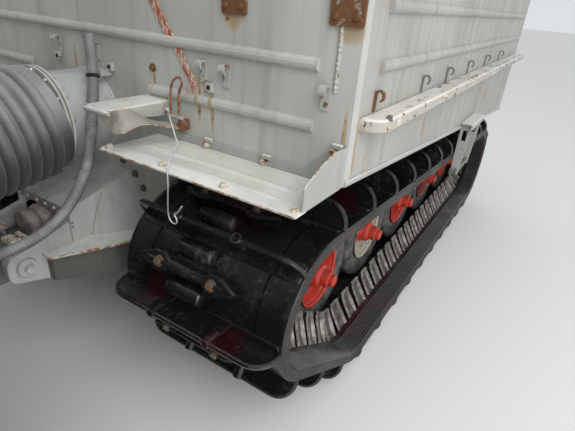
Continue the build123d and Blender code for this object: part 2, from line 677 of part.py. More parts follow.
def cylinder_barrel(side):
    base, eye, way = way_of_cylinder(side)
    barrel = bar_along(base, way, BARREL_FOOT, BARREL_L, BARREL_R)
    barrel += Pos(*base) * Cylinder(EAR_R, 2 * EAR_GAP - 2)
    barrel += bar_along(base, way, 0, BARREL_FOOT, ROD_R)
    barrel -= Pos(*base) * Cylinder(BASE_PIN_R + RUNNING, 4 * EAR_GAP)
    return barrel - bar_along(base, way, BARREL_FOOT + BARREL_END, BARREL_L + BARREL_FOOT, ROD_R + RUNNING)


def cylinder_rod(side):
    base, eye, way = way_of_cylinder(side)
    rod = bar_along(base, way, BARREL_L - ROD_IN, (eye - base).length, ROD_R)
    eye_low = JOINT_Z + ARM_T / 2 + EYE_GAP
    return rod + round_bar((eye.X, eye.Y, eye_low), (eye.X, eye.Y, CYLINDER_Z + ROD_R + 4), EYE_R)


def points_between(start, end, shares):
    return [tuple(a + (b - a) * share for a, b in zip(start, end)) for share in shares]


def hose_radius(before, corner, after):
    """The largest arc that a corner's two runs allow."""
    first = Vector(*corner) - Vector(*before)
    second = Vector(*after) - Vector(*corner)
    turn = math.radians(first.get_angle(second))
    return 0.45 * min(first.length, second.length) / math.tan(turn / 2)


os.makedirs("parts", exist_ok=True)

# Running gear
one_track = track()
for car, car_x in (("front", FRONT_X), ("rear", REAR_X)):
    write(f"{car}_tracks", both(Pos(car_x, 0, 0) * one_track))
    places = wheel_places(car_x)
    write(f"{car}_tyres", [solid for x in places for solid in both(tyre(x))])
    write(f"{car}_hubs", [solid for x in places for solid in both(hub(x))])
    write(f"{car}_sprockets", both(sprocket(car_x)))
    write(f"{car}_track_frames", both(track_frame(car_x)) + both(final_drive(car_x)))

# Rear car: hull and walls
rear_back_z = sill(REAR_END_X, REAR_X)
bore_ends = [(x, 0, REAR_DUCT_Z) for x in (REAR_X - DUCT_R, REAR_X + DUCT_R)]
duct_bore = tube(*bore_ends, DUCT_R - DUCT_WALL, DUCT_R)
back_inside = REAR_END_X + WALL
write("rear_hull", hull(REAR_X, REAR_X - WALL, back_inside, back_inside) - duct_bore)

front_panel = block((REAR_X - WALL, REAR_X), (-HALF, HALF), (SILL_Z, BOX_TOP_Z))
front_panel += block((REAR_X - WALL, REAR_X), (-HULL_HALF, HULL_HALF), (HULL_Z, SILL_Z))
for z, inner_y in WALL_BEADS:
    for side in (-1, 1):
        front_panel += bead((REAR_X, side * inner_y, z), (REAR_X, side * (HALF - WALL_BEAD_END), z))
clip_out, clip_y = HOSE_LEGS[0][1][:2]
clip_y = (clip_y - CLIP_HALF[0], clip_y + CLIP_HALF[0])
clip_x = (REAR_X, REAR_X + clip_out - HOSE_R - SEAT)
front_panel += block(clip_x, clip_y, (CLIP_Z - CLIP_HALF[1], CLIP_Z + CLIP_HALF[1]))
write("rear_front_wall", front_panel - duct_bore)

rear_side = side_plate(side_outline(REAR_END_X, REAR_X - WALL, REAR_X, BOX_TOP_Z), (INNER, HALF))
for z in BEAD_Z:
    rear_side += bead((REAR_X - BEAD_ENDS[0], HALF, z), (REAR_END_X + BEAD_ENDS[1], HALF, z))
write("rear_side_left", rear_side)
write("rear_side_right", other_side(rear_side))

# Rear car: back wall and its door
wall_x = (REAR_END_X, REAR_END_X + WALL)
door_low = rear_back_z + DOOR_SILL
back = block(wall_x, (-INNER, INNER), (rear_back_z, BOX_TOP_Z))
back -= block((REAR_END_X - WALL, REAR_END_X + 2 * WALL), (-DOOR_HALF, DOOR_HALF), (door_low, BOX_TOP_Z + WALL))
tailgate = block(wall_x, (-DOOR_HALF + GAP, DOOR_HALF - GAP), (door_low + GAP, BOX_TOP_Z))
for z in (rear_back_z + DOOR_HINGES[0], BOX_TOP_Z - DOOR_HINGES[1]):
    place = Plane(origin=(REAR_END_X - KNUCKLE_R, DOOR_HALF, z), x_dir=(0, 1, 0), z_dir=(0, 0, 1))
    moving, fixed = hinge(place)
    tailgate += moving
    back += fixed
write("rear_back_wall", back)
write("rear_door", tailgate)

# Rear car: hoops, benches, fenders, shelves, rails and steps
hoops = []
hoop_ends = (REAR_X - HOOP_ENDS[0], REAR_END_X + HOOP_ENDS[1])
for number in range(HOOPS):
    x = hoop_ends[0] + (hoop_ends[1] - hoop_ends[0]) * number / (HOOPS - 1)
    bow = bow_line(INNER, HEIGHT, HOOP_BEND) + bow_line(INNER - HOOP, HEIGHT - HOOP, HOOP_BEND - HOOP)[::-1]
    hoops.append(cross_plate(bow, (x - HOOP / 2, x + HOOP / 2)))
write("tilt_hoops", hoops)

ends = (REAR_END_X + BENCH_ENDS[1], REAR_X - BENCH_ENDS[0])
bench = block(ends, (BENCH_IN, INNER), (BENCH_Z, BENCH_Z + BENCH_T))
bench += side_plate([(x, sill(x, REAR_X)) for x in ends] + [(x, BENCH_Z) for x in reversed(ends)], BENCH_WEB)
write("benches", both(bench))
write("rear_fenders", both(fender(REAR_X, REAR_X)))
write("rear_shelves", both(shelf()))
write("rear_rails", both(rail(REAR_X - RAIL_START, REAR_END_X)) + both(step(REAR_X - STEP_BACK, REAR_X)))
write("rear_duct_stub", duct(REAR_X, REAR_DUCT_Z, 1))
write("drawbar", drawbar())
write("shaft_boot", tube((REAR_X + BOOT_X[0], 0, BOOT_Z), (REAR_X + BOOT_X[1], 0, BOOT_Z), BOOT_R, BOOT_R))
plate_t, plate_half = HITCH_PLATE
hitch = block((REAR_END_X - HITCH_REACH, REAR_END_X), (-HITCH_HALF, HITCH_HALF),
              (rear_back_z - HITCH_T[0], rear_back_z + HITCH_T[1]))
hitch += block((REAR_END_X - plate_t, REAR_END_X), (-HITCH_PAD, HITCH_PAD),
               (rear_back_z - plate_half, rear_back_z + plate_half))
bore_x = REAR_END_X - HITCH_REACH / 2
write("tow_hitch", hitch - round_bar((bore_x, 0, 0), (bore_x, 0, HEIGHT), HITCH_BORE_R))

# Front car: hull, nose and windscreens
front_back = FRONT_WALL_X + WALL
write("front_hull", hull(FRONT_X, NOSE_X - WALL, HULL_BACK_X, front_back, NOSE_CHAMFER))
slant = [(NOSE_X, SILL_Z), (NOSE_X, WAIST_Z), (NOSE_X - RAKE, HEIGHT - ROOF_T)]
nose = side_plate(slant + [(x - WALL, z) for x, z in reversed(slant)], (-HALF, HALF))
pane_z = (WAIST_Z + PANE_EDGE[0], HEIGHT - PANE_EDGE[1])
panes = []
for side in (-1, 1):
    pane_y = tuple(sorted((side * PILLAR, side * (HALF - PANE_SIDE))))
    nose -= block((NOSE_X - 2 * RAKE - WALL, NOSE_X + WALL), pane_y, pane_z)
    middle = [(x - WALL / 2, z) for x, z in slant[1:]]
    glass = side_plate(middle + [(x - GLASS, z) for x, z in reversed(middle)], pane_y)
    panes.append(glass & block((NOSE_X - 2 * RAKE - WALL, NOSE_X), (-HALF, HALF), pane_z))
write("nose_panel", nose)
write("windscreens", panes)

# Front car: sides, with a door and an engine hatch in each
roof_z = HEIGHT - ROOF_T
side_back = [(FRONT_WALL_X, roof_z), (FRONT_WALL_X, sill(FRONT_WALL_X, FRONT_X))]
side_points = [(x - WALL, z) for x, z in slant] + side_back
front_side = side_plate(side_points, (INNER, HALF))
through = (INNER - WALL, HALF + WALL)
front_side -= block(DOOR_X, through, DOOR_Z)
front_side -= block(HATCH_X, through, HATCH_Z)
door = block((DOOR_X[0] + GAP, DOOR_X[1] - GAP), (INNER, HALF), (DOOR_Z[0] + GAP, DOOR_Z[1] - GAP))
window_x = (DOOR_X[0] + WINDOW_EDGE, DOOR_X[1] - WINDOW_EDGE)
window_z = (WAIST_Z + WINDOW_SILL, DOOR_Z[1] - WINDOW_EDGE)
door -= block(window_x, through, window_z)
pane = block(window_x, (HALF - PANE_INSET - GLASS, HALF - PANE_INSET), window_z)
for z in (DOOR_Z[0] + HINGE_EDGE, DOOR_Z[1] - HINGE_EDGE):
    moving, fixed = hinge(Plane(origin=(DOOR_X[1], HALF + KNUCKLE_R, z), x_dir=(1, 0, 0), z_dir=(0, 0, 1)))
    door += moving
    front_side += fixed
for name, shape in (("cab_door", door), ("door_glass", pane)):
    write(f"{name}_left", shape)
    write(f"{name}_right", other_side(shape))

hatch = block((HATCH_X[0] + GAP, HATCH_X[1] - GAP), (INNER, HALF), (HATCH_Z[0] + GAP, HATCH_Z[1] - GAP))
louvre_x = (HATCH_X[0] + LOUVRE_EDGE[0], HATCH_X[1] - LOUVRE_EDGE[0])
louvres = int((HATCH_Z[1] - HATCH_Z[0] - 2 * LOUVRE_EDGE[1]) / LOUVRE_PITCH) + 1
for number in range(louvres):
    z = HATCH_Z[0] + LOUVRE_EDGE[1] + number * LOUVRE_PITCH
    slot = [(HALF, z), (HALF, z + LOUVRE_OPEN), (INNER, z + LOUVRE_DROP + LOUVRE_OPEN), (INNER, z + LOUVRE_DROP)]
    hatch -= cross_plate(slot, louvre_x)
for x in (HATCH_X[0] + HINGE_EDGE, HATCH_X[1] - HINGE_EDGE):
    moving, fixed = hinge(Plane(origin=(x, HALF + KNUCKLE_R, HATCH_Z[1]), x_dir=(0, 0, 1), z_dir=(-1, 0, 0)))
    hatch += moving
    front_side += fixed
write("front_side_left", front_side)
write("front_side_right", other_side(front_side))
write("engine_hatch_left", hatch)
write("engine_hatch_right", other_side(hatch))

# Front car: crowned roof, back wall, bulkhead and engine
edge_z = HEIGHT - ROOF_CROWN
crown = ThreePointArc((FRONT_WALL_X, HALF, edge_z), (FRONT_WALL_X, 0, HEIGHT), (FRONT_WALL_X, -HALF, edge_z))
skirt = Polyline((FRONT_WALL_X, -HALF, edge_z), (FRONT_WALL_X, -HALF, roof_z), (FRONT_WALL_X, HALF, roof_z),
                 (FRONT_WALL_X, HALF, edge_z))
write("front_roof", extrude(make_face(crown + skirt), amount=NOSE_X - RAKE - FRONT_WALL_X, dir=(1, 0, 0)))

rear_panel = block((FRONT_WALL_X, front_back), (-INNER, INNER), (sill(FRONT_WALL_X, FRONT_X), roof_z))
bore_ends = [(x, 0, FRONT_DUCT_Z) for x in (FRONT_WALL_X - WALL, front_back + WALL)]
rear_panel -= tube(*bore_ends, DUCT_R - DUCT_WALL, DUCT_R)
gland_y, gland_z = HOSE_LEGS[-1][-1][1:]
rear_panel += round_bar((FRONT_WALL_X - GLAND_L, gland_y, gland_z), (FRONT_WALL_X, gland_y, gland_z), GLAND_R)
write("front_back_wall", rear_panel)
bulkhead_z = sill(BULKHEAD_X, FRONT_X) + GAP
bulkhead_x = (BULKHEAD_X, BULKHEAD_X + WALL)
bulkhead = block(bulkhead_x, (-INNER, INNER), (bulkhead_z, roof_z))
trough = HULL_HALF - HULL_PLATE
bulkhead += block(bulkhead_x, (-trough, trough), (HULL_Z + HULL_PLATE, bulkhead_z))
write("bulkhead", bulkhead)
write("engine_block", block(ENGINE_X, (-ENGINE_HALF, ENGINE_HALF), (HULL_Z + HULL_PLATE, ENGINE_TOP_Z)))

# Front car: seats on their boxes, dash and steering wheel
seats = []
rest_t, rest_h = BACKREST
box_length, box_in, box_out = SEAT_BOX
for side in (-1, 1):
    across = (side * SEAT_MID - SEAT_HALF, side * SEAT_MID + SEAT_HALF)
    seats.append(block((SEAT_X, SEAT_X + SEAT_DEEP), across, (SEAT_Z - SEAT_T, SEAT_Z)))
    seats.append(block((SEAT_X - rest_t, SEAT_X - SEAT), across, (SEAT_Z - SEAT_T, SEAT_Z + rest_h)))
    ends = (SEAT_X, SEAT_X + box_length)
    foot = [(x, sill(x, FRONT_X)) for x in ends] + [(x, SEAT_Z - SEAT_T) for x in reversed(ends)]
    seats.append(side_plate(foot, tuple(sorted((side * (HULL_HALF + box_in), side * (SEAT_MID + box_out))))))
write("seats", seats)

depth, below, above = DASH
side_room = INNER - 2 * GAP
dash = block((NOSE_X - WALL - depth, NOSE_X - WALL), (-side_room, side_room), (WAIST_Z - below, WAIST_Z - above))
tilt = Plane(origin=(NOSE_X - WHEEL_BACK, SEAT_MID, WAIST_Z - WHEEL_LOW), z_dir=(-0.6, 0, 0.8))
rim = RegularPolygon(WHEEL_RIM_R + WHEEL_RIM_T, TYRE_SIDES) - RegularPolygon(WHEEL_RIM_R - WHEEL_RIM_T, TYRE_SIDES)
dash += extrude(tilt * RegularPolygon(COLUMN[0], HUB_SIDES), amount=-COLUMN[1])
dash += extrude(tilt * RegularPolygon(BOSS[0], RIM_SIDES), amount=BOSS[1] / 2, both=True)
dash += extrude(tilt * rim, amount=WHEEL_RIM_T, both=True)
dash += tilt * Box(2 * WHEEL_RIM_R, *SPOKE)
write("cab_controls", dash)

# Front car: lamps, fenders, rails, steps, duct and tow eye
lamps = []
for y in (HALF - LAMP_SIDE, LAMP_SIDE - HALF):
    lamps.append(round_bar((NOSE_X, y, LAMP_Z), (NOSE_X + LAMP_REACH, y, LAMP_Z), LAMP_R))
write("headlamps", lamps)
write("front_fenders", both(fender(FRONT_X, NOSE_X)))
write("front_rails", both(rail(DOOR_X[0] - FRONT_RAIL_END, FRONT_WALL_X)) + both(step(sum(DOOR_X) / 2, FRONT_X)))
write("front_duct_stub", duct(FRONT_WALL_X, FRONT_DUCT_Z, -1))
thin, tall = TOW_HALF
tow = block((NOSE_X, NOSE_X + TOW_REACH), (-thin, thin), (TOW_Z - tall, TOW_Z + tall))
tow += block((NOSE_X - WALL, NOSE_X), (-HULL_HALF, HULL_HALF), (SILL_Z - TOW_PAD, SILL_Z))
bore_x = NOSE_X + TOW_REACH - TOW_BORE_BACK
write("tow_eye", tow - round_bar((bore_x, -HALF, TOW_Z), (bore_x, HALF, TOW_Z), TOW_BORE_R))

# Joint and steering cylinders
write("steering_yoke", yoke())
write("steering_link", steering_link())
write("roll_collar", roll_collar())
for name, side in (("left", 1), ("right", -1)):
    write(f"cylinder_barrel_{name}", cylinder_barrel(side))
    write(f"cylinder_rod_{name}", cylinder_rod(side))

# Bellows and hose, each in three pieces
names = ("rear", "middle", "front")
bellows_ends = points_between((REAR_X + DUCT_LENGTH + SEAT, 0, REAR_DUCT_Z),
                              (FRONT_WALL_X - DUCT_LENGTH - SEAT, 0, FRONT_DUCT_Z), BELLOWS_CUTS)
for name, start, end in zip(names, bellows_ends, bellows_ends[1:]):
    write(f"bellows_{name}", tube(start, end, BELLOWS_R, BELLOWS_WALL))

legs = [[tuple(Vector(*point) + Vector(REAR_X, 0, 0)) for point in leg] for leg in HOSE_LEGS]
for leg, following in zip(legs, legs[1:]):
    cut = tuple((Vector(*leg[-1]) + Vector(*following[0])) / 2)
    leg.append(cut)
    following.insert(0, cut)
for name, leg in zip(names, legs):
    radii = [hose_radius(*leg[i - 1:i + 2]) for i in range(1, len(leg) - 1)]
    path = FilletPolyline(*leg, radius=radii)
    start_plane = Plane(origin=leg[0], z_dir=Vector(*leg[1]) - Vector(*leg[0]))
    write(f"hose_{name}", sweep(start_plane * RegularPolygon(HOSE_R, HOSE_SIDES), path=path))
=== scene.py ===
"""A tracked carrier of two cars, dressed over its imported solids.

Lengths are metres in the vehicle's frame: X forward, Y to its left, Z up, the ground at zero.
The sections follow the vehicle as it is put together, and each holds its own sizes and finishes.
"""

import math

import bpy
import numpy as np
from mathutils import Matrix, Vector


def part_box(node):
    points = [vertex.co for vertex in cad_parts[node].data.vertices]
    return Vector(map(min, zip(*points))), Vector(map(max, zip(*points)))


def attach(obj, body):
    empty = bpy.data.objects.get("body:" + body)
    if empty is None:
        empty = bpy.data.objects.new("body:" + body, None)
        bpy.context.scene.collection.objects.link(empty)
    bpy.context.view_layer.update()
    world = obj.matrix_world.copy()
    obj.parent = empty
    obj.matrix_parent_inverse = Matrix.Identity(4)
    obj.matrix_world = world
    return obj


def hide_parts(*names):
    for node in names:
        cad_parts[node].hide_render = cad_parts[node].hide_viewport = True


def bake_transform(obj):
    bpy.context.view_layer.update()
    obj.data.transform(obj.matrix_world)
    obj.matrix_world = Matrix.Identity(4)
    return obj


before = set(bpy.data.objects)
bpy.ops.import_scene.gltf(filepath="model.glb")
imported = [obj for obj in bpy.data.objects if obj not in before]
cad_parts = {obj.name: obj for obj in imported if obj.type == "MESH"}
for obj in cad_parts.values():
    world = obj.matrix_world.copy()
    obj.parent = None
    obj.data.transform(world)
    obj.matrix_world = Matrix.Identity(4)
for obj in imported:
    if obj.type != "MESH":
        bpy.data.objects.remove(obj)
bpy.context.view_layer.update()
scene = bpy.context.scene
scene.view_settings.view_transform = "Standard"


# Camera. The photographer stands ahead of the rear car's left front corner and looks back and down
# at it, with a wide lens and the camera turned a little.
EYE, LENS_MM = (0.371, 1.235, 1.24), 27.1
LOOK_RIGHT, LOOK_BACK = Vector((-0.537, 0.840, 0.074)), Vector((0.770, 0.453, 0.449))

back = LOOK_BACK.normalized()
right = (LOOK_RIGHT - LOOK_RIGHT.dot(back) * back).normalized()
camera = bpy.data.objects.new("camera", bpy.data.cameras.new("camera"))
camera.data.lens, camera.data.sensor_width, camera.data.sensor_fit = LENS_MM, 36.0, "HORIZONTAL"
camera.matrix_world = Matrix.Translation(EYE) @ Matrix((right, back.cross(right), back)).transposed().to_4x4()
scene.collection.objects.link(camera)
scene.camera = camera


class Value:
    """A socket of a finish, on which sums are written as Python expressions."""

    def __init__(self, finish, socket):
        self.finish, self.socket = finish, socket

    def __add__(self, other):
        return self.finish.node("Math", {"operation": "ADD"}, (self, other))

    def __mul__(self, other):
        return self.finish.node("Math", {"operation": "MULTIPLY"}, (self, other))


class Finish:
    """A material built node by node. Constants are set on the shader's own sockets."""

    def __init__(self, name, **constants):
        self.material = bpy.data.materials.new(name)
        self.material.use_nodes = True
        self.tree = self.material.node_tree
        self.shader = self.tree.nodes["Principled BSDF"]
        for socket, value in constants.items():
            self.shader.inputs[socket.replace("_", " ")].default_value = value
        self.place = self.node("TexCoord", {}, {}, "Object")

    def node(self, kind, settings, inputs, output=0):
        """Adds one node: its settings first, then the values or links of its sockets."""
        made = self.tree.nodes.new("ShaderNode" + kind)
        for key, value in settings.items():
            setattr(made, key, value)
        for key, value in inputs.items() if isinstance(inputs, dict) else enumerate(inputs):
            socket = made.inputs[key]
            if isinstance(value, Value):
                self.tree.links.new(value.socket, socket)
            else:
                socket.default_value = (*value, 1.0) if socket.type == "RGBA" else value
        return Value(self, made.outputs[output])

    def cloud(self, size, detail=3.0, stretch=(1.0, 1.0, 1.0), rough=0.55):
        """Noise whose patches are about size metres across, longer where stretch is small."""
        place = self.node("Mapping", {}, {"Vector": self.place, "Scale": stretch})
        return self.node("TexNoise", {}, {"Vector": place, "Scale": 1 / size, "Detail": detail, "Roughness": rough})

    def rise(self, value, low, high):
        """0 below low, 1 above high, and smooth between them. Low may be the greater one."""
        return self.node("MapRange", {"interpolation_type": "SMOOTHSTEP"},
                         {"Value": value, "From Min": low, "From Max": high})

    def patches(self, low, high, *cloud):
        """A cloud cut to patches with a soft edge between the two values."""
        return self.rise(self.cloud(*cloud), low, high)

    def mix(self, share, first, second):
        return self.node("Mix", {"data_type": "RGBA"}, {0: share, 6: first, 7: second}, 2)

    def axis(self, letter):
        return self.node("SeparateXYZ", {}, {0: self.place}, letter)

    def near(self, point, size):
        """1 at a point, falling to 0 at the surface of an ellipsoid with the half sizes given."""
        scale = tuple(1 / half for half in size)
        centre = tuple(-p / half for p, half in zip(point, size))
        place = self.node("Mapping", {}, {"Vector": self.place, "Location": centre, "Scale": scale})
        return self.rise(self.node("VectorMath", {"operation": "LENGTH"}, {0: place}, "Value"), 1.0, 0.2)

    def facing(self, low, high):
        """How far a surface faces up, 0 below low and 1 above high, on a scale from -1 to 1."""
        normal = self.node("TexCoord", {}, {}, "Normal")
        return self.rise(self.node("SeparateXYZ", {}, {0: normal}, "Z"), low, high)

    def give(self, base, rough=None, height=None, distance=0.001):
        """Links the shader to its colour and its roughness, and to a bump from a height."""
        self.tree.links.new(base.socket, self.shader.inputs["Base Color"])
        if rough:
            self.tree.links.new(rough.socket, self.shader.inputs["Roughness"])
        if height:
            bump = self.node("Bump", {}, {"Height": height, "Distance": distance})
            self.tree.links.new(bump.socket, self.shader.inputs["Normal"])
        return self.material


def two_tone(name, cloud, colours, limits=None, rough=None, bump=None, distance=0.001, **constants):
    """Two colours parted by a cloud, between limits where they are given. Roughness is a * cloud + b,
    for rough = (a, b) or (a, b, size of its own cloud), and bump is the cloud of the height."""
    finish = Finish(name, **constants)
    share = finish.patches(*limits, *cloud) if limits else finish.cloud(*cloud)
    if rough:
        rough = (finish.cloud(rough[2]) if rough[2:] else share) * rough[0] + rough[1]
    return finish.give(finish.mix(share, *colours), rough, bump and finish.cloud(*bump), distance)


# Floor and light. A pale studio floor, an even sky, one large soft lamp above the left side, and a
# weaker one lower down that fills its shadows.
FLOOR_HALF, FLOOR_COLOUR = 60, (0.80, 0.79, 0.77, 1.0)
SKY_COLOUR, SKY = (0.93, 0.96, 1.0, 1.0), 0.78
LAMPS = (("lamp", (2.2, 4.4, 5.2), (-0.6, 0.4, 0.5), 4.0, 230.0),
         ("fill", (0.9, 3.4, 1.3), (-0.4, 0.1, 0.5), 2.2, 20.0))

floor_mesh = bpy.data.meshes.new("floor")
floor_mesh.from_pydata([(x * FLOOR_HALF, y * FLOOR_HALF, 0) for x, y in ((-1, -1), (1, -1), (1, 1), (-1, 1))],
                       [], [(0, 1, 2, 3)])
floor = bpy.data.objects.new("floor", floor_mesh)
scene.collection.objects.link(floor)
floor_mesh.materials.append(Finish("floor", Base_Color=FLOOR_COLOUR, Roughness=0.9).material)

scene.world = bpy.data.worlds.new("sky")
scene.world.use_nodes = True
background = scene.world.node_tree.nodes["Background"].inputs
background["Color"].default_value, background["Strength"].default_value = SKY_COLOUR, SKY

for name, place, aim, size, watts in LAMPS:
    lamp = bpy.data.objects.new(name, bpy.data.lights.new(name, "AREA"))
    lamp.data.energy, lamp.data.size, lamp.location = watts, size, place
    lamp.rotation_euler = (Vector(aim) - Vector(place)).to_track_quat("-Z", "Y").to_euler()
    scene.collection.objects.link(lamp)


def strip(points, around=True, along=False, caps=(True, True)):
    """A grid of points (rows, columns, 3) as quads between neighbouring rows and columns. around joins
    the last column to the first, along the last row to the first, and caps closes the end rows."""
    rows, columns = points.shape[:2]
    number = np.arange(rows * columns).reshape(rows, columns)
    if around:
        number = np.hstack([number, number[:, :1]])
    if along:
        number = np.vstack([number, number[:1]])
    quads = np.stack([number[:-1, :-1], number[1:, :-1], number[1:, 1:], number[:-1, 1:]], -1)
    faces = quads.reshape(-1, 4).tolist()
    if caps[0]:
        faces.append(list(range(columns)))
    if caps[1]:
        faces.append(list(range(rows * columns - 1, (rows - 1) * columns - 1, -1)))
    return points.reshape(-1, 3), faces


def unit(ways):
    """Directions brought to length 1."""
    ways = np.asarray(ways, float)
    return ways / np.linalg.norm(ways, axis=-1, keepdims=True)


def steady(path):
    """Two directions across a path, each turned as little as it can be from one point to the next."""
    step = unit(np.gradient(path, axis=0))
    side = [np.cross(step[0], (0.3, 0.5, 0.8))]
    for way in step:
        side.append(unit(side[-1] - way * (side[-1] @ way)))
    side = np.array(side[1:])
    return side, np.cross(step, side)


def carried(path, side, lift, profile, along=False, swell=1.0):
    """A closed profile carried along a path: point = path + swell * (a * side + b * lift), for each (a, b)."""
    side, lift = (np.broadcast_to(way, path.shape)[:, None] for way in (side, lift))
    swell = np.broadcast_to(swell, len(path))[:, None, None]
    points = path[:, None] + swell * (profile[None, :, :1] * side + profile[None, :, 1:] * lift)
    return strip(points, along=along, caps=(not along,) * 2)


def spread(count, start=0.0):
    """Cosines and sines of angles spread evenly round a circle, anticlockwise."""
    angle = start + np.arange(count) * 2 * np.pi / count
    return np.stack([np.cos(angle), np.sin(angle)], 1)


def wire(path, radius, count=10, swell=1.0):
    """A round bar along a path, thicker where swell is greater."""
    path = np.asarray(path, float)
    return carried(path, *steady(path), spread(count) * radius, swell=swell)


def piece(name, parts, finishes, body=None, slot=None, *replaces):
    """One object from parts, each (points, faces) or (points, faces, number of its finish)."""
    points, faces, looks, base = [], [], [], 0
    for part in parts:
        points.append(np.asarray(part[0], float))
        faces.extend([[base + corner for corner in face] for face in part[1]])
        looks.extend([part[2] if len(part) > 2 else 0] * len(part[1]))
        base += len(part[0])
    mesh = bpy.data.meshes.new(name)
    mesh.from_pydata(np.vstack(points), [], faces)
    mesh.polygons.foreach_set("material_index", np.array(looks, np.int32))
    for finish in finishes:
        mesh.materials.append(finish)
    mesh.shade_smooth()
    mesh.set_sharp_from_angle(angle=math.radians(38))
    made = bpy.data.objects.new(name, mesh)
    scene.collection.objects.link(made)
    if body:
        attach(made, body)
    if replaces:
        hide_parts(*replaces)
    return made


# Hose. A ribbed grey rubber hose of 30 mm, tied to the rear car's wall, hangs past the joint in one
# long sag and goes up into a gland on the front car. It is cut into three stretches, one for each
# of the joint's axes that it passes.
HOSE_DIAMETER, HOSE_RIB, HOSE_RIB_PITCH = 0.030, 0.0007, 0.0095
WALL_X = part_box("rear_shelves")[0].x
HOSE_ROUTE = [
    (0.050, 0.098, 1.113), (0.050, 0.100, 1.010), (0.090, 0.140, 0.940), (0.125, 0.170, 0.870),
    (0.180, 0.200, 0.765), (0.270, 0.220, 0.683), (0.350, 0.210, 0.640), (0.420, 0.185, 0.622),
    (0.500, 0.170, 0.618), (0.590, 0.175, 0.640), (0.675, 0.205, 0.715), (0.760, 0.205, 0.715),
]
HOSE_CUTS_X = (-0.095, 0.095)
TIE_Z = 1.004
HOSE_BODIES = (("rear", "roll_collar", "rear_car"), ("middle", "steering_link", "roll_collar"),
               ("front", "front_car", "steering_link"))


def smooth_route(points):
    """The points of an order 3 NURBS spline through a route's control points."""
    curve = bpy.data.curves.new("route", "CURVE")
    curve.dimensions = "3D"
    spline = curve.splines.new("NURBS")
    spline.points.add(len(points) - 1)
    for control, point in zip(spline.points, points):
        control.co = (*point, 1.0)
    spline.order_u, spline.use_endpoint_u, spline.resolution_u = 3, True, 24
    holder = bpy.data.objects.new("route", curve)
    found = np.array([vertex.co for vertex in bpy.data.meshes.new_from_object(holder).vertices])
    bpy.data.objects.remove(holder)
    return found


def even(path, gap):
    """The same line with its points about gap metres apart, and their distances along it."""
    path = np.asarray(path, float)
    length = np.r_[0, np.cumsum(np.linalg.norm(np.diff(path, axis=0), axis=1))]
    steps = np.linspace(0, length[-1], max(int(length[-1] / gap), 2))
    return np.stack([np.interp(steps, length, path[:, i]) for i in range(3)], 1), steps


rubber = Finish("hose_rubber", Roughness=0.62)
base = rubber.mix(rubber.patches(0.35, 0.7, 0.05, 4.0), (0.19, 0.195, 0.195), (0.33, 0.335, 0.33))
# Faces that turn down are darkened to near black: a painted shade under the hose.
hose_look = rubber.give(rubber.mix(rubber.facing(-0.9, 0.6), (0.11, 0.11, 0.11), base),
                        height=rubber.cloud(0.002), distance=0.0004)
hose_line = smooth_route([(x + WALL_X, y, z) for x, y, z in HOSE_ROUTE])
cuts = [0, *(int(np.abs(hose_line[:, 0] - x).argmin()) for x in HOSE_CUTS_X), len(hose_line) - 1]
for (place, first, second), start, end in zip(HOSE_BODIES, cuts, cuts[1:]):
    path, steps = even(hose_line[start:end + 1], HOSE_RIB_PITCH / 4)
    ribbed = (path[:, 2] < TIE_Z) * HOSE_RIB / HOSE_DIAMETER * 2
    swell = 1 + ribbed * np.cos(steps / HOSE_RIB_PITCH * 2 * np.pi)
    hose = piece(f"hose_{place}_tube", [wire(path, HOSE_DIAMETER / 2 - HOSE_RIB, 20, swell)], [hose_look],
                 None, "hose_rubber", f"hose_{place}")
    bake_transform(hose)


# Lower hulls. Each car hangs on a welded steel trough between its tracks, painted like the body but
# splashed with mud and road film low down.
def weathered_paint(name, colour, dirt=(0.16, 0.145, 0.12), low=None, rust=(), gloss=0.42, stain=0.35):
    """Old gloss paint: faded in clouds, streaked by rain, dirty below a height, rusty near points."""
    finish = Finish(name, Coat_Weight=0.15, Coat_Roughness=0.25)
    fade, streaks, pits = finish.cloud(0.45), finish.cloud(0.03, 4.0, (1.0, 1.0, 0.05)), finish.cloud(0.006, 4.0)
    pale = tuple(min(c * 1.08, 1.0) for c in colour)
    base = finish.mix(finish.rise(fade, 0.35, 0.68), tuple(c * 0.87 for c in colour), pale)
    base = finish.mix(finish.rise(streaks, 0.45, 0.8) * stain, base, dirt)
    base = finish.mix(finish.patches(0.66, 0.74, 0.004, 2.0) * 0.35, base, dirt)
    rough = finish.rise(streaks, 0.2, 0.9) * 0.25 + gloss
    if low:
        mud = finish.rise(finish.axis("Z") + finish.cloud(0.12, 5.0) * 0.16, low[1], low[0])
        base = finish.mix(mud * 0.8, base, dirt)
        rough = rough + mud * 0.25
    height = finish.cloud(0.16, 2.0) * 2.0 + pits * 0.5
    if rust:
        marks = finish.near(*rust[0])
        for point, size in rust[1:]:
            marks = marks + finish.near(point, size)
        base = finish.mix(finish.rise(marks * 0.75 + streaks * 0.4, 0.50, 1.0) * 0.7, base, (0.37, 0.23, 0.08))
        marks = finish.rise(marks * 0.26 + finish.cloud(0.014, 6.0, (1, 1, 0.6), 0.66), 0.80, 0.88)
        brown = finish.mix(finish.rise(pits, 0.3, 0.7), (0.10, 0.035, 0.012), (0.36, 0.17, 0.05))
        base = finish.mix(marks, base, brown)
        rough = rough + marks * 0.3
        height = height + marks * pits * 0.3
    return finish.give(base, rough, height, 0.0012)


def dress(nodes, finish):
    """Gives CAD nodes, named in one text, their finish."""
    for name in nodes.split():
        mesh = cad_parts[name].data
        mesh.materials.clear()
        mesh.materials.append(finish)


hull_paint = weathered_paint("hull_paint", (0.235, 0.24, 0.235), low=(0.42, 0.75), gloss=0.5)
dress("rear_hull front_hull front_track_frames rear_track_frames", hull_paint)


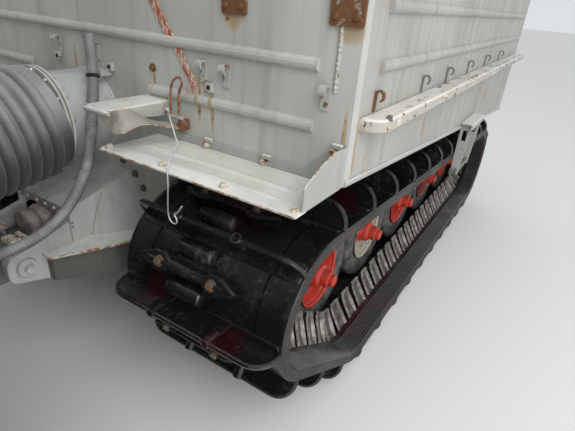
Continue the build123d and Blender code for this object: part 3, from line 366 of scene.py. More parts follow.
# Body shells. Pressed sheet panels spot welded to the walls' frames, with half round ribs rolled in.
# Rust runs down from the seams at the corners and from the fittings: each spot is (y, z) or (x, y, z)
# and its half sizes.
WALL_RUST = ((0.452, 0.99, 0.05, 0.014, 0.12), (0.497, 0.97, 0.05, 0.013, 0.10), (0.866, 0.96, 0.06, 0.012, 0.16),
             (0.292, 1.01, 0.05, 0.010, 0.05), (-0.05, 1.02, 0.05, 0.015, 0.09), (0.56, 1.19, 0.05, 0.05, 0.05),
             (0.85, 1.19, 0.05, 0.06, 0.05))
SIDE_RUST = ((-0.50, 0.88, 0.95, 0.010, 0.05, 0.13), (-0.57, 0.88, 0.90, 0.008, 0.05, 0.05),
             (-1.05, 0.88, 0.90, 0.03, 0.05, 0.06), (-2.2, 0.88, 0.86, 0.05, 0.05, 0.10),
             (-2.2, -0.88, 0.86, 0.06, 0.05, 0.12), (-0.53, -0.88, 0.95, 0.035, 0.05, 0.11),
             (-1.5, -0.88, 0.86, 0.03, 0.05, 0.08))
FRONT_RUST = ((1.78, 0.88, 1.0, 0.03, 0.05, 0.12), (0.34, 0.88, 0.80, 0.05, 0.05, 0.12),
              (2.6, 0.88, 1.0, 0.04, 0.05, 0.10), (1.78, -0.88, 1.0, 0.03, 0.05, 0.12),
              (2.83, 0.5, 1.33, 0.05, 0.06, 0.08), (2.83, -0.6, 1.33, 0.05, 0.06, 0.08))

wall_rust, side_rust, front_rust = ([(spot[:3], spot[3:]) for spot in spots] for spots in
                                    ([(WALL_X, *spot) for spot in WALL_RUST], SIDE_RUST, FRONT_RUST))
dress("rear_front_wall", weathered_paint("wall_paint", (0.50, 0.503, 0.465), rust=wall_rust))
side_paint = weathered_paint("side_paint", (0.39, 0.38, 0.345), rust=side_rust)
dress("rear_side_left rear_side_right rear_back_wall rear_door", side_paint)
front_paint = weathered_paint("front_paint", (0.40, 0.405, 0.36), rust=front_rust, stain=0.28)
dress("front_side_left front_side_right front_back_wall front_roof nose_panel bulkhead cab_door_left "
      "cab_door_right engine_hatch_left engine_hatch_right", front_paint)


# Wall fittings. Bent strip hooks for the tilt's lashing, welded blocks whose holes are near black discs of painted
# shade, the brown sockets of a rack that is gone, and the weld seam of the corner, all on the rear car's front wall.
HOOK_ROWS = ((-0.118, 1.035), (0.064, 1.035), (0.472, 1.036), (0.545, 1.034), (0.813, 1.030))
HOOK_WIDTH, HOOK_DROP, HOOK_CURL_R, HOOK_T = 0.020, 0.042, 0.011, 0.003
BLOCKS = ((-0.130, 1.025), (0.118, 1.025), (0.493, 1.027))
BLOCK_SIZE, BLOCK_DEEP, BLOCK_HOLE_R = 0.024, 0.011, 0.006
SOCKETS_Y, SOCKET_Z, SOCKET_T = ((0.53, 0.60), (0.805, 0.88)), (1.197, 1.270), 0.007
SEAM_Y, SEAM_Z, SEAM_R, SEAM_POINTS = 0.833, (1.07, 1.46), 0.0042, 130
LONE_BOLT = (0.289, 1.046)
TIE_RING = ((0.0146, -0.005), (0.0176, -0.004), (0.0184, 0.0), (0.0176, 0.004), (0.0146, 0.005))
UP = (1, 0, 0), (0, 0, 1)
AHEAD, OUTWARD, BEHIND = ((0, 1, 0), (1, 0, 0)), ((1, 0, 0), (0, 1, 0)), ((0, -1, 0), (-1, 0, 0))
OPEN = (False, False)


def rounded(corners, radii, steps=6):
    """An outline with round corners: for each corner, an arc of its radius tangent to both its edges."""
    found = []
    corners = [np.array(corner, float) for corner in corners]
    for number, corner in enumerate(corners):
        radius = radii[number] if isinstance(radii, (list, tuple)) else radii
        into, out = unit(corners[number - 1] - corner), unit(corners[(number + 1) % len(corners)] - corner)
        if radius <= 0:
            found.append(corner[None])
            continue
        half = math.acos(max(-1.0, min(1.0, into @ out))) / 2
        centre = corner + unit(into + out) * radius / math.sin(half)
        first = corner + into * radius / math.tan(half) - centre
        last = corner + out * radius / math.tan(half) - centre
        start = math.atan2(first[1], first[0])
        sweep = (math.atan2(last[1], last[0]) - start + math.pi) % (2 * math.pi) - math.pi
        angle = start + sweep * np.linspace(0, 1, steps)
        found.append(centre + radius * np.stack([np.cos(angle), np.sin(angle)], 1))
    return np.vstack(found)


def oblong(x, y, *bend):
    """A rectangle between the two values of each pair, its corners rounded where radii are given."""
    corners = [(x[0], y[0]), (x[1], y[0]), (x[1], y[1]), (x[0], y[1])]
    return rounded(corners, *bend) if bend else corners


def slab(outline, low, high, edge=0.0):
    """A plate: its outline in X and Y between two heights, its edges broken by a chamfer."""
    outline = np.asarray(outline, float)
    if (np.cross(outline, np.roll(outline, -1, 0))).sum() < 0:
        outline = outline[::-1]
    step = unit(np.roll(outline, -1, 0) - np.roll(outline, 1, 0))
    inward = np.stack([-step[:, 1], step[:, 0]], 1) * edge
    rows = [(outline + inward, high), (outline, high - edge), (outline, low + edge), (outline + inward, low)]
    rows = rows if edge else rows[1:3]
    return strip(np.stack([np.c_[flat, np.full(len(flat), height)] for flat, height in rows]))


def turned(profile, count=32, close=(True, True)):
    """A profile of (radius, height) turned about Z, with its end rings closed where they are open."""
    profile = np.asarray(profile, float)
    points = np.concatenate([profile[:, None, :1] * spread(count), np.repeat(profile[:, None, 1:], count, 1)], -1)
    return strip(points[::-1], caps=close[::-1])


def put(parts, place=(0, 0, 0), way=UP, look=None):
    """Parts turned so that their own X and Z lie along the two directions of a way, set at a point,
    with the number of their finish where it is given."""
    z = unit(way[1])
    x = unit(np.array(way[0], float) - z * (z @ np.array(way[0], float)))
    axes = np.stack([x, np.cross(z, x), z])
    return [(np.asarray(part[0]) @ axes + np.array(place, float), part[1], *(part[2:] if look is None else [look]))
            for part in (parts if isinstance(parts, list) else [parts])]


def both(parts):
    """Parts and their mirror images on the other side, whose faces are turned back to point outwards."""
    return parts + [(np.asarray(part[0]) * (1, -1, 1), [face[::-1] for face in part[1]], *part[2:]) for part in parts]


def dome(*profile, count=20):
    """A turned cap whose profile ends in the middle of its last height."""
    return turned([*profile[:-1], (0.0001, profile[-1])], count)


def bolt(size, washer=0.0):
    """A hexagon head of a width across flats, with a slight dome, on an optional washer."""
    radius = size / math.sqrt(3)
    head = dome((radius, 0), (radius, size * 0.52), (radius * 0.86, size * 0.62), size * 0.64, count=6)
    return [head, turned([(washer, 0), (washer, size * 0.12), (washer * 0.5, size * 0.14)], 20)] if washer else [head]


def circle_of(parts, count, radius, start=0.0, height=0.0, look=None):
    """Copies of parts round the Z axis, at a radius and a height."""
    return [part for x, y in spread(count, start) * radius for part in put(parts, (x, y, height), look=look)]


def rusty(name, share=0.5, bare=(0.33, 0.31, 0.27)):
    """A fitting whose paint has gone in patches to brown and orange rust."""
    finish = Finish(name)
    patch = finish.patches(0.62 - share * 0.3, 0.74 - share * 0.3, 0.018, 5.0)
    fine = finish.cloud(0.003, 4.0)
    brown = finish.mix(fine, (0.06, 0.026, 0.013), (0.25, 0.11, 0.042))
    return finish.give(finish.mix(patch, bare, brown), patch * 0.4 + 0.45, fine * patch)


def lashing_hook(y, z):
    """A strip welded to the wall by its foot, bent out and down again at its top: a straight, then an arc."""
    curl = np.linspace(np.pi, -np.pi / 4, 11)
    x = np.r_[0.0, HOOK_CURL_R + HOOK_CURL_R * np.cos(curl)]
    height = np.r_[0.0, HOOK_DROP + HOOK_CURL_R * np.sin(curl)]
    path = np.stack([WALL_X + HOOK_T + x, np.full(len(x), y), z + height], 1)
    band = np.array(oblong((-0.5, 0.5), (-0.5, 0.5))) * (HOOK_WIDTH, HOOK_T)
    return carried(path, (0, 1, 0), np.cross((0, 1, 0), unit(np.gradient(path, axis=0))), band)


fittings = [lashing_hook(y, z) for y, z in HOOK_ROWS]
square = oblong((-0.5, 0.5), (-0.5, 0.5), 0.12) * BLOCK_SIZE
for y, z in BLOCKS:
    fittings += put(slab(square, 0, BLOCK_DEEP, 0.002), (WALL_X, y, z), AHEAD, 1)
    # A near black disc on the block's face stands for its hole: painted shade.
    fittings += put(turned([(BLOCK_HOLE_R, 0.0), (BLOCK_HOLE_R, 0.0006)], 16), (WALL_X + BLOCK_DEEP, y, z), AHEAD, 3)
for ends in SOCKETS_Y:
    fittings += put(slab(oblong(ends, SOCKET_Z, 0.006), 0, SOCKET_T, 0.001), (WALL_X, 0, 0), AHEAD, 2)
    for y in (ends[0] + 0.014, ends[1] - 0.014):
        fittings += put(bolt(0.011), (WALL_X + SOCKET_T, y, SOCKET_Z[0] + 0.018), AHEAD, 2)
seam_z = np.linspace(*SEAM_Z, SEAM_POINTS)
seam = np.stack([np.full(SEAM_POINTS, WALL_X + 0.001), SEAM_Y + 0.0012 * np.sin(seam_z * 700), seam_z], 1)
weld = carried(seam, (1, 0, 0), (0, 1, 0), spread(8) * SEAM_R, swell=1 + 0.25 * np.sin(seam_z * 520))
fittings += put(weld, look=1)
fittings += put(bolt(0.014, 0.011), (WALL_X, *LONE_BOLT), AHEAD, 2)
tie_at = int(np.abs(hose_line[:, 2] - TIE_Z).argmin())
fittings += put(turned(TIE_RING, 28, OPEN), hose_line[tie_at], ((1, 0, 0), hose_line[tie_at - 1] - hose_line[tie_at + 1]), 3)
socket_rust = rusty("socket_rust", 1.1)
# Near black: the real colour of the tie band and the dial faces, and painted shade for the blocks' holes.
black_and_hole_shade_look = two_tone("black_and_hole_shade", (0.01,), ((0.006, 0.005, 0.004), (0.02, 0.017, 0.014)), Roughness=0.9)
piece("wall_fittings", fittings, [rusty("hook_metal", 0.25, (0.42, 0.43, 0.39)),
      rusty("block_paint", 0.15, (0.44, 0.44, 0.40)), socket_rust, black_and_hole_shade_look], "rear_car", "body_paint")


# Belts. Each track is a loop of black rubber belts, dipped in bitumen and wet, with a thicker edge on
# both sides, seams between the belts, and fine ribs moulded along the inside of each outer belt.
TRACK_IN, TRACK_OUT, BELT_T = 0.360, 0.880, 0.030
TRACK_MID = (TRACK_IN + TRACK_OUT) / 2
SPROCKET_Z, BELT_ON_SPROCKET = 0.530, 0.170
WHEEL_Z, TYRE_R, TYRE_W = 0.3203, 0.215, 0.100
FIRST_WHEEL, WHEEL_PITCH, WHEELS = 0.400, 0.450, 5
LAST_WHEEL = FIRST_WHEEL + (WHEELS - 1) * WHEEL_PITCH
CARS = {name: (sum(corner.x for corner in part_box(f"{name}_hubs")) + FIRST_WHEEL + LAST_WHEEL) / 2
        for name in ("front", "rear")}
GROUSERS, FIRST_GROUSER, STATIONS = 30, 0.95, 220
SEAMS, SEAM_HALF, SEAM_DEEP = (0.445, 0.795), 0.0035, 0.007
EDGE_W, EDGE_UP = 0.020, 0.003
RIBS_W, RIB_COUNT, RIB_UP = 0.078, 8, 0.0040


class Loop:
    """Places on a track's loop round its three discs, lift metres outside the belt's inner face. Between
    discs the line is their outer tangent."""

    def __init__(self, car_x, lift):
        discs = [(car_x, SPROCKET_Z, BELT_ON_SPROCKET + lift)]
        discs += [(car_x - back_by, WHEEL_Z, TYRE_R + 0.0003 + lift) for back_by in (LAST_WHEEL, FIRST_WHEEL)]
        angles = []
        for first, second in zip(discs, discs[1:] + discs[:1]):
            way = np.array(second[:2]) - np.array(first[:2])
            angles.append(math.atan2(way[1], way[0]) - math.acos((first[2] - second[2]) / np.hypot(*way)))
        points, normals = [], []
        for number, (x, z, radius) in enumerate(discs):
            start, end = angles[number - 1], angles[number]
            end += 2 * math.pi * (end < start)
            normal = np.linspace(start, end, max(int(math.degrees(end - start)), 2))
            points.append(np.stack([x + radius * np.cos(normal), z + radius * np.sin(normal)], 1))
            normals.append(normal)
        self.points = np.vstack([*points, points[0][:1]])
        self.normals = np.unwrap(np.concatenate([*normals, normals[0][:1]]))
        self.ways = np.r_[0, np.cumsum(np.hypot(*np.diff(self.points, axis=0).T))]
        self.length = self.ways[-1]

    def at(self, way):
        """Point, along, across and outward directions at arc lengths."""
        way = np.mod(way, self.length)
        x, z, angle = (np.interp(way, self.ways, line) for line in (*self.points.T, self.normals))
        zero = np.zeros_like(angle)
        point, outward, along = (np.stack([a, zero, b], 1) for a, b in
                                 ((x, z), (np.cos(angle), np.sin(angle)), (-np.sin(angle), np.cos(angle))))
        return point, along, np.tile((0.0, 1.0, 0.0), (len(angle), 1)), outward

    def placed(self, parts, ways):
        """Parts in (along, across, outward) axes, copied to each arc length: all copies as one mesh."""
        point, *axes = self.at(np.asarray(ways, float))
        found = []
        for shape, faces, *look in parts:
            points = point[:, None] + sum(shape[None, :, i:i + 1] * axis[:, None] for i, axis in enumerate(axes))
            faces = [[corner + copy * len(shape) for corner in face] for copy in range(len(ways)) for face in faces]
            found.append((points.reshape(-1, 3), faces, *look))
        return found


def belt_profile():
    """The belt's section as (across, outward) from the inner face: ribs inside, seams and edges outside."""
    rib_y = np.linspace(0, RIBS_W, RIB_COUNT * 2 + 1)
    rib_h = -RIB_UP * (0.5 - 0.5 * np.cos(rib_y / RIBS_W * RIB_COUNT * 2 * np.pi))
    near = np.stack([TRACK_IN + 0.006 + rib_y, rib_h], 1)
    far = np.stack([TRACK_OUT - 0.006 - rib_y[::-1], rib_h], 1)
    edge = np.array([(0.0, 0.004), (0.0, BELT_T - 0.001), (0.004, BELT_T + EDGE_UP), (EDGE_W, BELT_T + EDGE_UP),
                     (EDGE_W + 0.004, BELT_T)])
    seams = [(seam + side * SEAM_HALF * wide, BELT_T - SEAM_DEEP * deep) for seam in reversed(SEAMS)
             for side, wide, deep in ((1, 1, 0), (1, 0.5, 1), (-1, 0.5, 1), (-1, 1, 0))]
    return np.vstack([near, far, edge * (-1, 1) + (TRACK_OUT, 0), seams, edge[::-1] + (TRACK_IN, 0)])


def bitumen():
    """Black and glossy where it is wet, dusty grey in patches, duller and browner low down and along the outer rim,
    dark red in places.
    """
    finish = Finish("bitumen", Specular_IOR_Level=0.65)
    patch, fine = finish.cloud(0.14, 4.0), finish.cloud(0.012, 5.0)
    dust = finish.rise(patch * 0.6 + fine * 0.6, 0.62, 0.86)
    base = finish.mix(finish.patches(0.60, 0.68, 0.22, 1.0), (0.008, 0.0075, 0.008), (0.022, 0.004, 0.005))
    base = finish.mix(dust * 0.75, base, (0.065, 0.058, 0.05))
    low = finish.rise(finish.axis("Z") + fine * 0.05, 0.16, 0.05)
    base = finish.mix(low * 0.4, base, (0.022, 0.019, 0.017))
    out = finish.node("Math", {"operation": "ABSOLUTE"}, [finish.axis("Y")])
    rim = finish.rise(out, TRACK_OUT - 0.003, TRACK_OUT - 0.001)
    brown = finish.mix(finish.rise(fine, 0.35, 0.65), (0.008, 0.008, 0.008), (0.028, 0.020, 0.014))
    rough = finish.rise(patch, 0.3, 0.75) * 0.22 + 0.13 + dust * 0.35 + low * 0.45 + rim * 0.4
    return finish.give(finish.mix(rim, base, brown), rough, finish.cloud(0.03, 4.0), 0.0016)


# Grousers. A pressed steel blade across the whole track, 75 mm high, with a round bead along its edge,
# D shaped ends and two eyelets, riveted to the belts. The same bitumen covers it.
BLADE_UP, BLADE_T, BEAD_R, END_R = 0.075, 0.007, 0.0070, 0.062
EYELET_Y, EYELET_R, EYELET_BORE, EYELET_UP = 0.090, 0.0155, 0.0085, (0.035, 0.075)
SLIT, FOOT_W, FOOT_T = 0.004, 0.050, 0.006


def grouser():
    """In (along, across, outward): the bead, plates between the slits, the eyelets and the foot."""
    top, ends, bend = BLADE_UP - BEAD_R, (TRACK_IN + BEAD_R, TRACK_OUT - BEAD_R), END_R - BEAD_R
    rim = rounded([(ends[0], 0.0), (ends[0], top), (ends[1], top), (ends[1], 0.0)], [0, bend, bend, 0], 9)
    path = np.c_[np.zeros(len(rim)), rim]
    parts = [carried(path, (1, 0, 0), np.cross(unit(np.gradient(path, axis=0)), (1, 0, 0)), spread(8) * BEAD_R)]
    eyelets, half = (TRACK_MID - EYELET_Y, TRACK_MID + EYELET_Y), EYELET_R * 0.8
    lows = [ends[0], *(y + way for y in eyelets for way in (-half, half + SLIT))]
    highs = [*(y + way for y in eyelets for way in (-half - SLIT, half)), ends[1]]
    for low, high in zip(lows, highs):
        radii = [0, 0, bend * (high == ends[1]), bend * (low == ends[0])]
        points, faces = slab(oblong((low, high), (0.0, top), radii, 9), -BLADE_T / 2, BLADE_T / 2, 0.001)
        parts.append((points[:, [2, 0, 1]], faces))
    low, high = EYELET_UP
    tube = turned([(EYELET_BORE, low), (EYELET_R, low), (EYELET_R, high - 0.002), (EYELET_R - 0.002, high),
                   (EYELET_BORE + 0.001, high), (EYELET_BORE, high - 0.001)], 14, OPEN)
    cup = turned([(EYELET_BORE, low + 0.006), (0.0001, low + 0.006)], 14, (False, True))
    foot = oblong((-FOOT_W / 2, FOOT_W / 2), (TRACK_IN + 0.01, TRACK_OUT - 0.01), 0.008, 4)
    parts += [part for y in eyelets for part in put([tube, cup], (0, y, 0))]
    return parts + [slab(foot, -0.002, FOOT_T, 0.0015)]


# Crossbars. Between two grousers a short forged bar is bolted through the belts, with a lozenge at
# each end, and a half round rubber block lies on each side of it.
BAR_MID_Y, BAR_HALF, BAR_BOSS, BAR_UP = 0.592, 0.154, 0.085, 0.034
BLOCK_OUT, BLOCK_HALF, BLOCK_R = 0.052, 0.056, 0.024
BLOCK_ENDS = ((-1.0, 0.72), (-0.95, 0.93), (-0.88, 1.0), (0.88, 1.0), (0.95, 0.93), (1.0, 0.72))


def crossbar():
    """Half the outline in (along, across), mirrored along the track, and its two bolts and blocks."""
    half = [(0.004, BAR_HALF), (0.026, BAR_BOSS + 0.022), (0.027, BAR_BOSS - 0.012), (0.013, BAR_BOSS - 0.032)]
    half += [(a, -y) for a, y in reversed(half)]
    spine = oblong((-0.006, 0.006), (0.03 - BAR_HALF, BAR_HALF - 0.03))
    parts = [slab(half + [(-a, y) for a, y in reversed(half)], -0.002, BAR_UP, 0.006),
             slab(spine, BAR_UP - 0.002, BAR_UP + 0.005, 0.003)]
    arc = np.linspace(0, np.pi, 9)
    section = np.stack([BLOCK_R * np.cos(arc), BLOCK_R * 1.15 * np.sin(arc)], 1)
    share, swell = np.array(BLOCK_ENDS).T
    for side in (-1, 1):
        parts += put(bolt(0.019, 0.015), (0, side * BAR_BOSS, BAR_UP), look=1)
        path = np.stack([side * BLOCK_OUT + 0 * share, BLOCK_HALF * share, 0 * share], 1)
        parts.append(carried(path, (1, 0, 0), (0, 0, 1), section, swell=swell))
    return put(parts, (0, BAR_MID_Y, 0))


# Lugs. Bare steel stampings riveted inside the belts in two rows, each a sloping plate with a U shaped
# bead, that keep the wheels in their path. The bead and the tip are given a lighter copy of the steel, a painted
# highlight, and the rest a darker copy, a painted shade.
LUG_W, LUG_BEAD, LUG_DIP = 0.074, 0.006, 0.006
LUG_FOOT, LUG_TIP, LUG_BACK = np.array([(0.155, 0.0), (0.099, 0.094), (0.072, 0.0)])
LUG_SLOPE = (0.0, 0.12, 0.3, 0.5, 0.7, 0.84, 0.93, 1.0, 1.06, 1.5, 2.0)


def lug(side):
    """A grid over width u and slope v: the foot, tip and back line, raised where u or v nears the U."""
    u, v = np.meshgrid(np.linspace(-1, 1, 9), LUG_SLOPE)
    line = np.where(v[..., None] <= 1, LUG_FOOT + (LUG_TIP - LUG_FOOT) * v[..., None],
                    LUG_TIP + (LUG_BACK - LUG_TIP) * (v[..., None] - 1))
    bead = np.exp(-((np.abs(u) - 0.78) / 0.13) ** 2) * (v < 1.05) + np.exp(-((v - 0.93) / 0.07) ** 2)
    dip = (np.abs(u) < 0.6) * (v < 0.85) * np.sin(np.clip(v / 0.85, 0, 1) * np.pi)
    up = np.clip(bead, 0, 1) * LUG_BEAD - LUG_DIP * dip
    narrow = 1 - 0.22 * np.clip(v, 0, 1) ** 3 * (v <= 1) - 0.22 * (v > 1)
    points = np.stack([u * LUG_W / 2 * narrow, side * (line[..., 0] + up * 0.85), -(line[..., 1] + up * 0.5)], -1)
    points[..., 2] = np.minimum(points[..., 2], 0.0)
    grid, faces = strip(points if side > 0 else points[:, ::-1], around=False, caps=OPEN)
    # Faces of the bead and the tip take the lighter steel, a painted highlight; the rest take the darker steel, a
    # painted shade.
    lit = (np.abs(u[:-1, :-1]) > 0.6).ravel() | (v[:-1, :-1] >= 0.8).ravel()
    return put([(grid, [face for face, shown in zip(faces, lit) if shown], 2),
                (grid, [face for face, shown in zip(faces, lit) if not shown], 3)], (0, TRACK_MID, 0))


def lug_steel(name, colour, rough):
    """Steel worn bright in clouds, with brown spots."""
    finish = Finish(name, Metallic=0.75)
    worn = finish.cloud(0.02, 5.0)
    base = finish.mix(finish.rise(worn, 0.4, 0.65), tuple(c * 0.5 for c in colour), colour)
    base = finish.mix(finish.patches(0.62, 0.72, 0.008, 5.0), base, (0.11, 0.055, 0.03))
    return finish.give(base, worn * 0.2 + rough, finish.cloud(0.004, 4.0), 0.0006)


rust_bolt = rusty("rust_bolt", 0.35, (0.11, 0.085, 0.06))
# The lighter lug steel is a painted highlight and the darker one a painted shade.
track_looks = [bitumen(), rust_bolt, lug_steel("lug_steel_highlight", (0.30, 0.28, 0.245), 0.38),
               lug_steel("lug_steel_shade", (0.17, 0.16, 0.14), 0.45)]
for name, car_x in CARS.items():
    inner, outer = Loop(car_x, 0.0), Loop(car_x, BELT_T)
    point, along, across, outward = inner.at(np.linspace(0, inner.length, STATIONS, endpoint=False))
    pitch = outer.length / GROUSERS
    feet = (np.arange(GROUSERS) + FIRST_GROUSER) * pitch
    rows = (np.arange(2 * GROUSERS) + 0.5) * inner.length / (2 * GROUSERS)
    parts = [carried(point, across, outward, belt_profile(), along=True)]
    parts += outer.placed(grouser(), feet) + outer.placed(crossbar(), feet + pitch / 2)
    parts += inner.placed(lug(-1) + lug(1), rows)
    piece(f"{name}_track_loops", both(parts), track_looks, f"{name}_car", "track_black", f"{name}_tracks")


# Fenders. A pressed sheet over each track's front end: two ribs run across it, a bolted band lies along
# its front edge, a flange goes up the wall behind it and a cut plate closes its outer end.
FENDER_IN, FENDER_OUT, FENDER_Z, FENDER_T = 0.300, 0.880, 0.868, 0.003
FENDER_RIBS, FENDER_RIB_UP, FENDER_RIB_HALF = (0.095, 0.150), 0.0045, 0.011
BAND_W, BAND_T, BAND_BOLTS_Y = 0.038, 0.004, (0.318, 0.504, 0.687, 0.865)
FLANGE = ((FENDER_IN, 0.0), (FENDER_IN, 0.022), (0.780, 0.022), (0.832, 0.080), (0.868, 0.080), (0.868, 0.0))
CLIPS = ((0.490, 0.018), (0.675, 0.018), (0.858, 0.086))
END_PLATE = ((0.000, 0.002), (0.000, 0.094), (0.057, 0.097), (0.121, 0.078), (0.169, 0.057),
             (0.176, 0.047), (0.177, 0.002))


def cream_sheet():
    """Pale paint in two tones with brown scratches and rust chips; faces that do not face up are darkened to grey, a
    painted shade.
    """
    finish = Finish("fender_paint", Coat_Weight=0.1)
    patch, scratch = finish.cloud(0.20, 3.0), finish.cloud(0.012, 5.0, (1.0, 0.08, 1.0))
    base = finish.mix(finish.rise(patch, 0.35, 0.65), (0.62, 0.625, 0.56), (0.76, 0.76, 0.71))
    base = finish.mix(finish.rise(scratch, 0.50, 0.8) * 0.35, base, (0.36, 0.32, 0.24))
    # Faces that do not face up are darkened to grey: painted shade on the sides.
    base = finish.mix(finish.facing(-0.2, 0.9), (0.36, 0.36, 0.32), base)
    chip = finish.rise(finish.cloud(0.007, 4.0) + patch * 0.15, 0.735, 0.77)
    base = finish.mix(chip, base, (0.27, 0.13, 0.05))
    return finish.give(base, scratch * 0.3 + 0.3, patch * 1.5 + finish.cloud(0.01, 4.0) * 0.1, 0.0014)


def worn_edge():
    """The bare rim of a cut sheet: brown and orange rust with pale paint left in places."""
    finish = Finish("worn_edge")
    fine = finish.cloud(0.006, 5.0)
    brown = finish.mix(fine, (0.10, 0.035, 0.012), (0.50, 0.24, 0.09))
    base = finish.mix(finish.patches(0.42, 0.56, 0.02, 3.0), brown, (0.55, 0.52, 0.44))
    return finish.give(base, fine * 0.3 + 0.5, fine, 0.0006)


def edge_line(path, radius=0.0016, look=2):
    """A thin bead along the edge of a sheet, rust unless another finish is given, thicker and thinner along its length.
    """
    path = even(path, 0.006)[0]
    number = np.arange(len(path))
    return put(wire(path, radius, 6, 1 + 0.35 * np.sin(number * 2.1) * np.sin(number * 0.37)), look=look)


def standing(outline, low, high, edge):
    """A plate with its outline in X and Z and its thickness along Y."""
    points, faces = slab(outline, low, high, edge)
    return points[:, [0, 2, 1]], [face[::-1] for face in faces]


def fender(wall_x, reach):
    """Height over a grid of (out from the wall, across): ribs are raised cosines that end before the sides."""
    out = np.unique(np.r_[np.linspace(0.004, reach, 48), FENDER_RIBS])
    u, y = np.meshgrid(out, np.linspace(FENDER_IN, FENDER_OUT - 0.004, 60), indexing="ij")
    ends = np.clip((y - FENDER_IN - 0.05) / 0.02, 0, 1) * np.clip((FENDER_OUT - 0.065 - y) / 0.03, 0, 1)
    near = (np.clip(1 - np.abs(u - middle) / FENDER_RIB_HALF, 0, 1) for middle in FENDER_RIBS)
    ribs = FENDER_RIB_UP * sum(np.sin(share * np.pi / 2) ** 2 for share in near) * ends
    dent = np.exp(-(((y - 0.44) / 0.09) ** 2 + ((u - 0.12) / 0.05) ** 2)) * 0.003
    top = np.stack([wall_x + u, y, FENDER_Z + ribs - dent], -1)
    parts = [strip(np.concatenate([top, (top - (0, 0, FENDER_T))[::-1]], 0).transpose(1, 0, 2))]
    front = wall_x + reach
    band = oblong((front - BAND_W, front), (FENDER_IN, FENDER_OUT), [0.004, 0.012, 0.002, 0.002], 5)
    parts += put(slab(band, FENDER_Z - 0.001, FENDER_Z + BAND_T, 0.001), look=4)
    flange = rounded(FLANGE, [0, 0.004, 0.02, 0.01, 0, 0], 5)
    parts += put(slab(flange, 0.0, 0.004, 0.001), (wall_x, 0, FENDER_Z), AHEAD, 1)
    plate = rounded([(wall_x + u * reach / 0.200, FENDER_Z + z) for u, z in END_PLATE],
                    [0, 0, 0.01, 0.03, 0.01, 0.008, 0], 4)
    points, faces = slab(plate, -0.004, 0.0, 0.001)  # not standing(): these faces point inwards
    parts += put((points[:, [0, 2, 1]], faces), (0, FENDER_OUT, 0), look=1)
    parts += edge_line([(x, FENDER_OUT - 0.002, z) for x, z in plate[len(plate) // 6:-1]])
    parts += edge_line([(front, y, FENDER_Z) for y in np.linspace(FENDER_IN + 0.01, FENDER_OUT - 0.002, 40)])
    for y in BAND_BOLTS_Y:
        parts += put(bolt(0.014, 0.0105), (front - BAND_W / 2, y, FENDER_Z + BAND_T), look=3)
    for y, up in CLIPS:
        clip = oblong((y - 0.013, y + 0.013), (up, up + 0.012), 0.003, 4)
        parts += put(slab(clip, 0.003, 0.012, 0.002), (wall_x, 0, FENDER_Z), AHEAD, 0)
        parts += put(bolt(0.014, 0.0105), (wall_x + 0.005, y - 0.008, FENDER_Z + up - 0.008), AHEAD, 3)
    return parts


fender_look, edge_look = cream_sheet(), worn_edge()
tan_bolt = rusty("tan_bolt", 0.35, (0.62, 0.56, 0.45))
grey_sheet = weathered_paint("grey_sheet", (0.40, 0.405, 0.375))
band_paint = weathered_paint("band_paint", (0.82, 0.81, 0.77), stain=0.3)
for name, wall_x in (("rear", WALL_X), ("front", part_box("front_fenders")[0].x)):
    piece(f"{name}_fender_sheets", both(fender(wall_x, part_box(f"{name}_fenders")[1].x - wall_x)),
          [fender_look, grey_sheet, edge_look, tan_bolt, band_paint], f"{name}_car", "fender_paint", f"{name}_fenders")


# Shelves. On each side of the duct a folded sheet tray stands out from the rear car's front wall, with
# a rolled front edge. On the left one a bent flap, a copper wire latch and the end of a worn strap.
SHELF_Y, SHELF_OUT, SHELF_Z, SHELF_DROP = (0.250, 0.345), 0.200, 0.970, 0.040
SHELF_NOSE_R, SHELF_SHEET, SHELF_STRIP = 0.009, 0.0025, ((0.276, 0.989), (0.382, 0.983))
FLAP_FAR = ((0.196, 0.311, 0.949), (0.190, 0.337, 0.962), (0.175, 0.352, 0.970), (0.160, 0.360, 0.972),
            (0.145, 0.363, 0.967), (0.120, 0.367, 0.951), (0.100, 0.374, 0.937), (0.070, 0.386, 0.929),
            (0.008, 0.408, 0.914))
FLAP_NEAR = ((0.198, 0.366, 0.919), (0.190, 0.381, 0.922), (0.176, 0.383, 0.925), (0.160, 0.385, 0.929),
             (0.145, 0.388, 0.933), (0.125, 0.392, 0.936), (0.100, 0.397, 0.930), (0.070, 0.404, 0.921),
             (0.012, 0.420, 0.905))
FLAP_T = 0.0022
LATCH_LOOP = ((0.379, 0.935), (0.380, 0.975), (0.382, 1.005), (0.391, 1.030), (0.408, 1.042), (0.421, 1.040),
              (0.425, 1.028), (0.414, 1.010), (0.408, 0.985), (0.410, 0.935))
LATCH_OFF, LATCH_WIRE, ROLLER_AT = 0.030, 0.0032, (0.366, 0.947)
TIE_WIRE = ((0.030, 0.372, 0.941), (0.050, 0.400, 0.928), (0.078, 0.446, 0.896), (0.085, 0.460, 0.893),
            (0.120, 0.482, 0.893), (0.190, 0.534, 0.892), (0.205, 0.545, 0.872), (0.206, 0.546, 0.835),
            (0.190, 0.525, 0.790), (0.176, 0.508, 0.752), (0.176, 0.512, 0.733), (0.180, 0.530, 0.727),
            (0.182, 0.546, 0.736), (0.181, 0.540, 0.750), (0.178, 0.530, 0.752), (0.178, 0.545, 0.762),
            (0.180, 0.560, 0.784))
STRAP_ROUTE = ((0.298, 1.222), (0.318, 1.190), (0.342, 1.154), (0.372, 1.122), (0.398, 1.090), (0.414, 1.058),
               (0.436, 1.040), (0.457, 1.028))
STRAP_W, STRAP_THREADS = 0.026, 7


def spline(points, gap=0.004):
    """The rounded line through a few control points, given as (out from the wall, y, z)."""
    return even(smooth_route([(WALL_X + u, y, z) for u, y, z in points]), gap)[0]


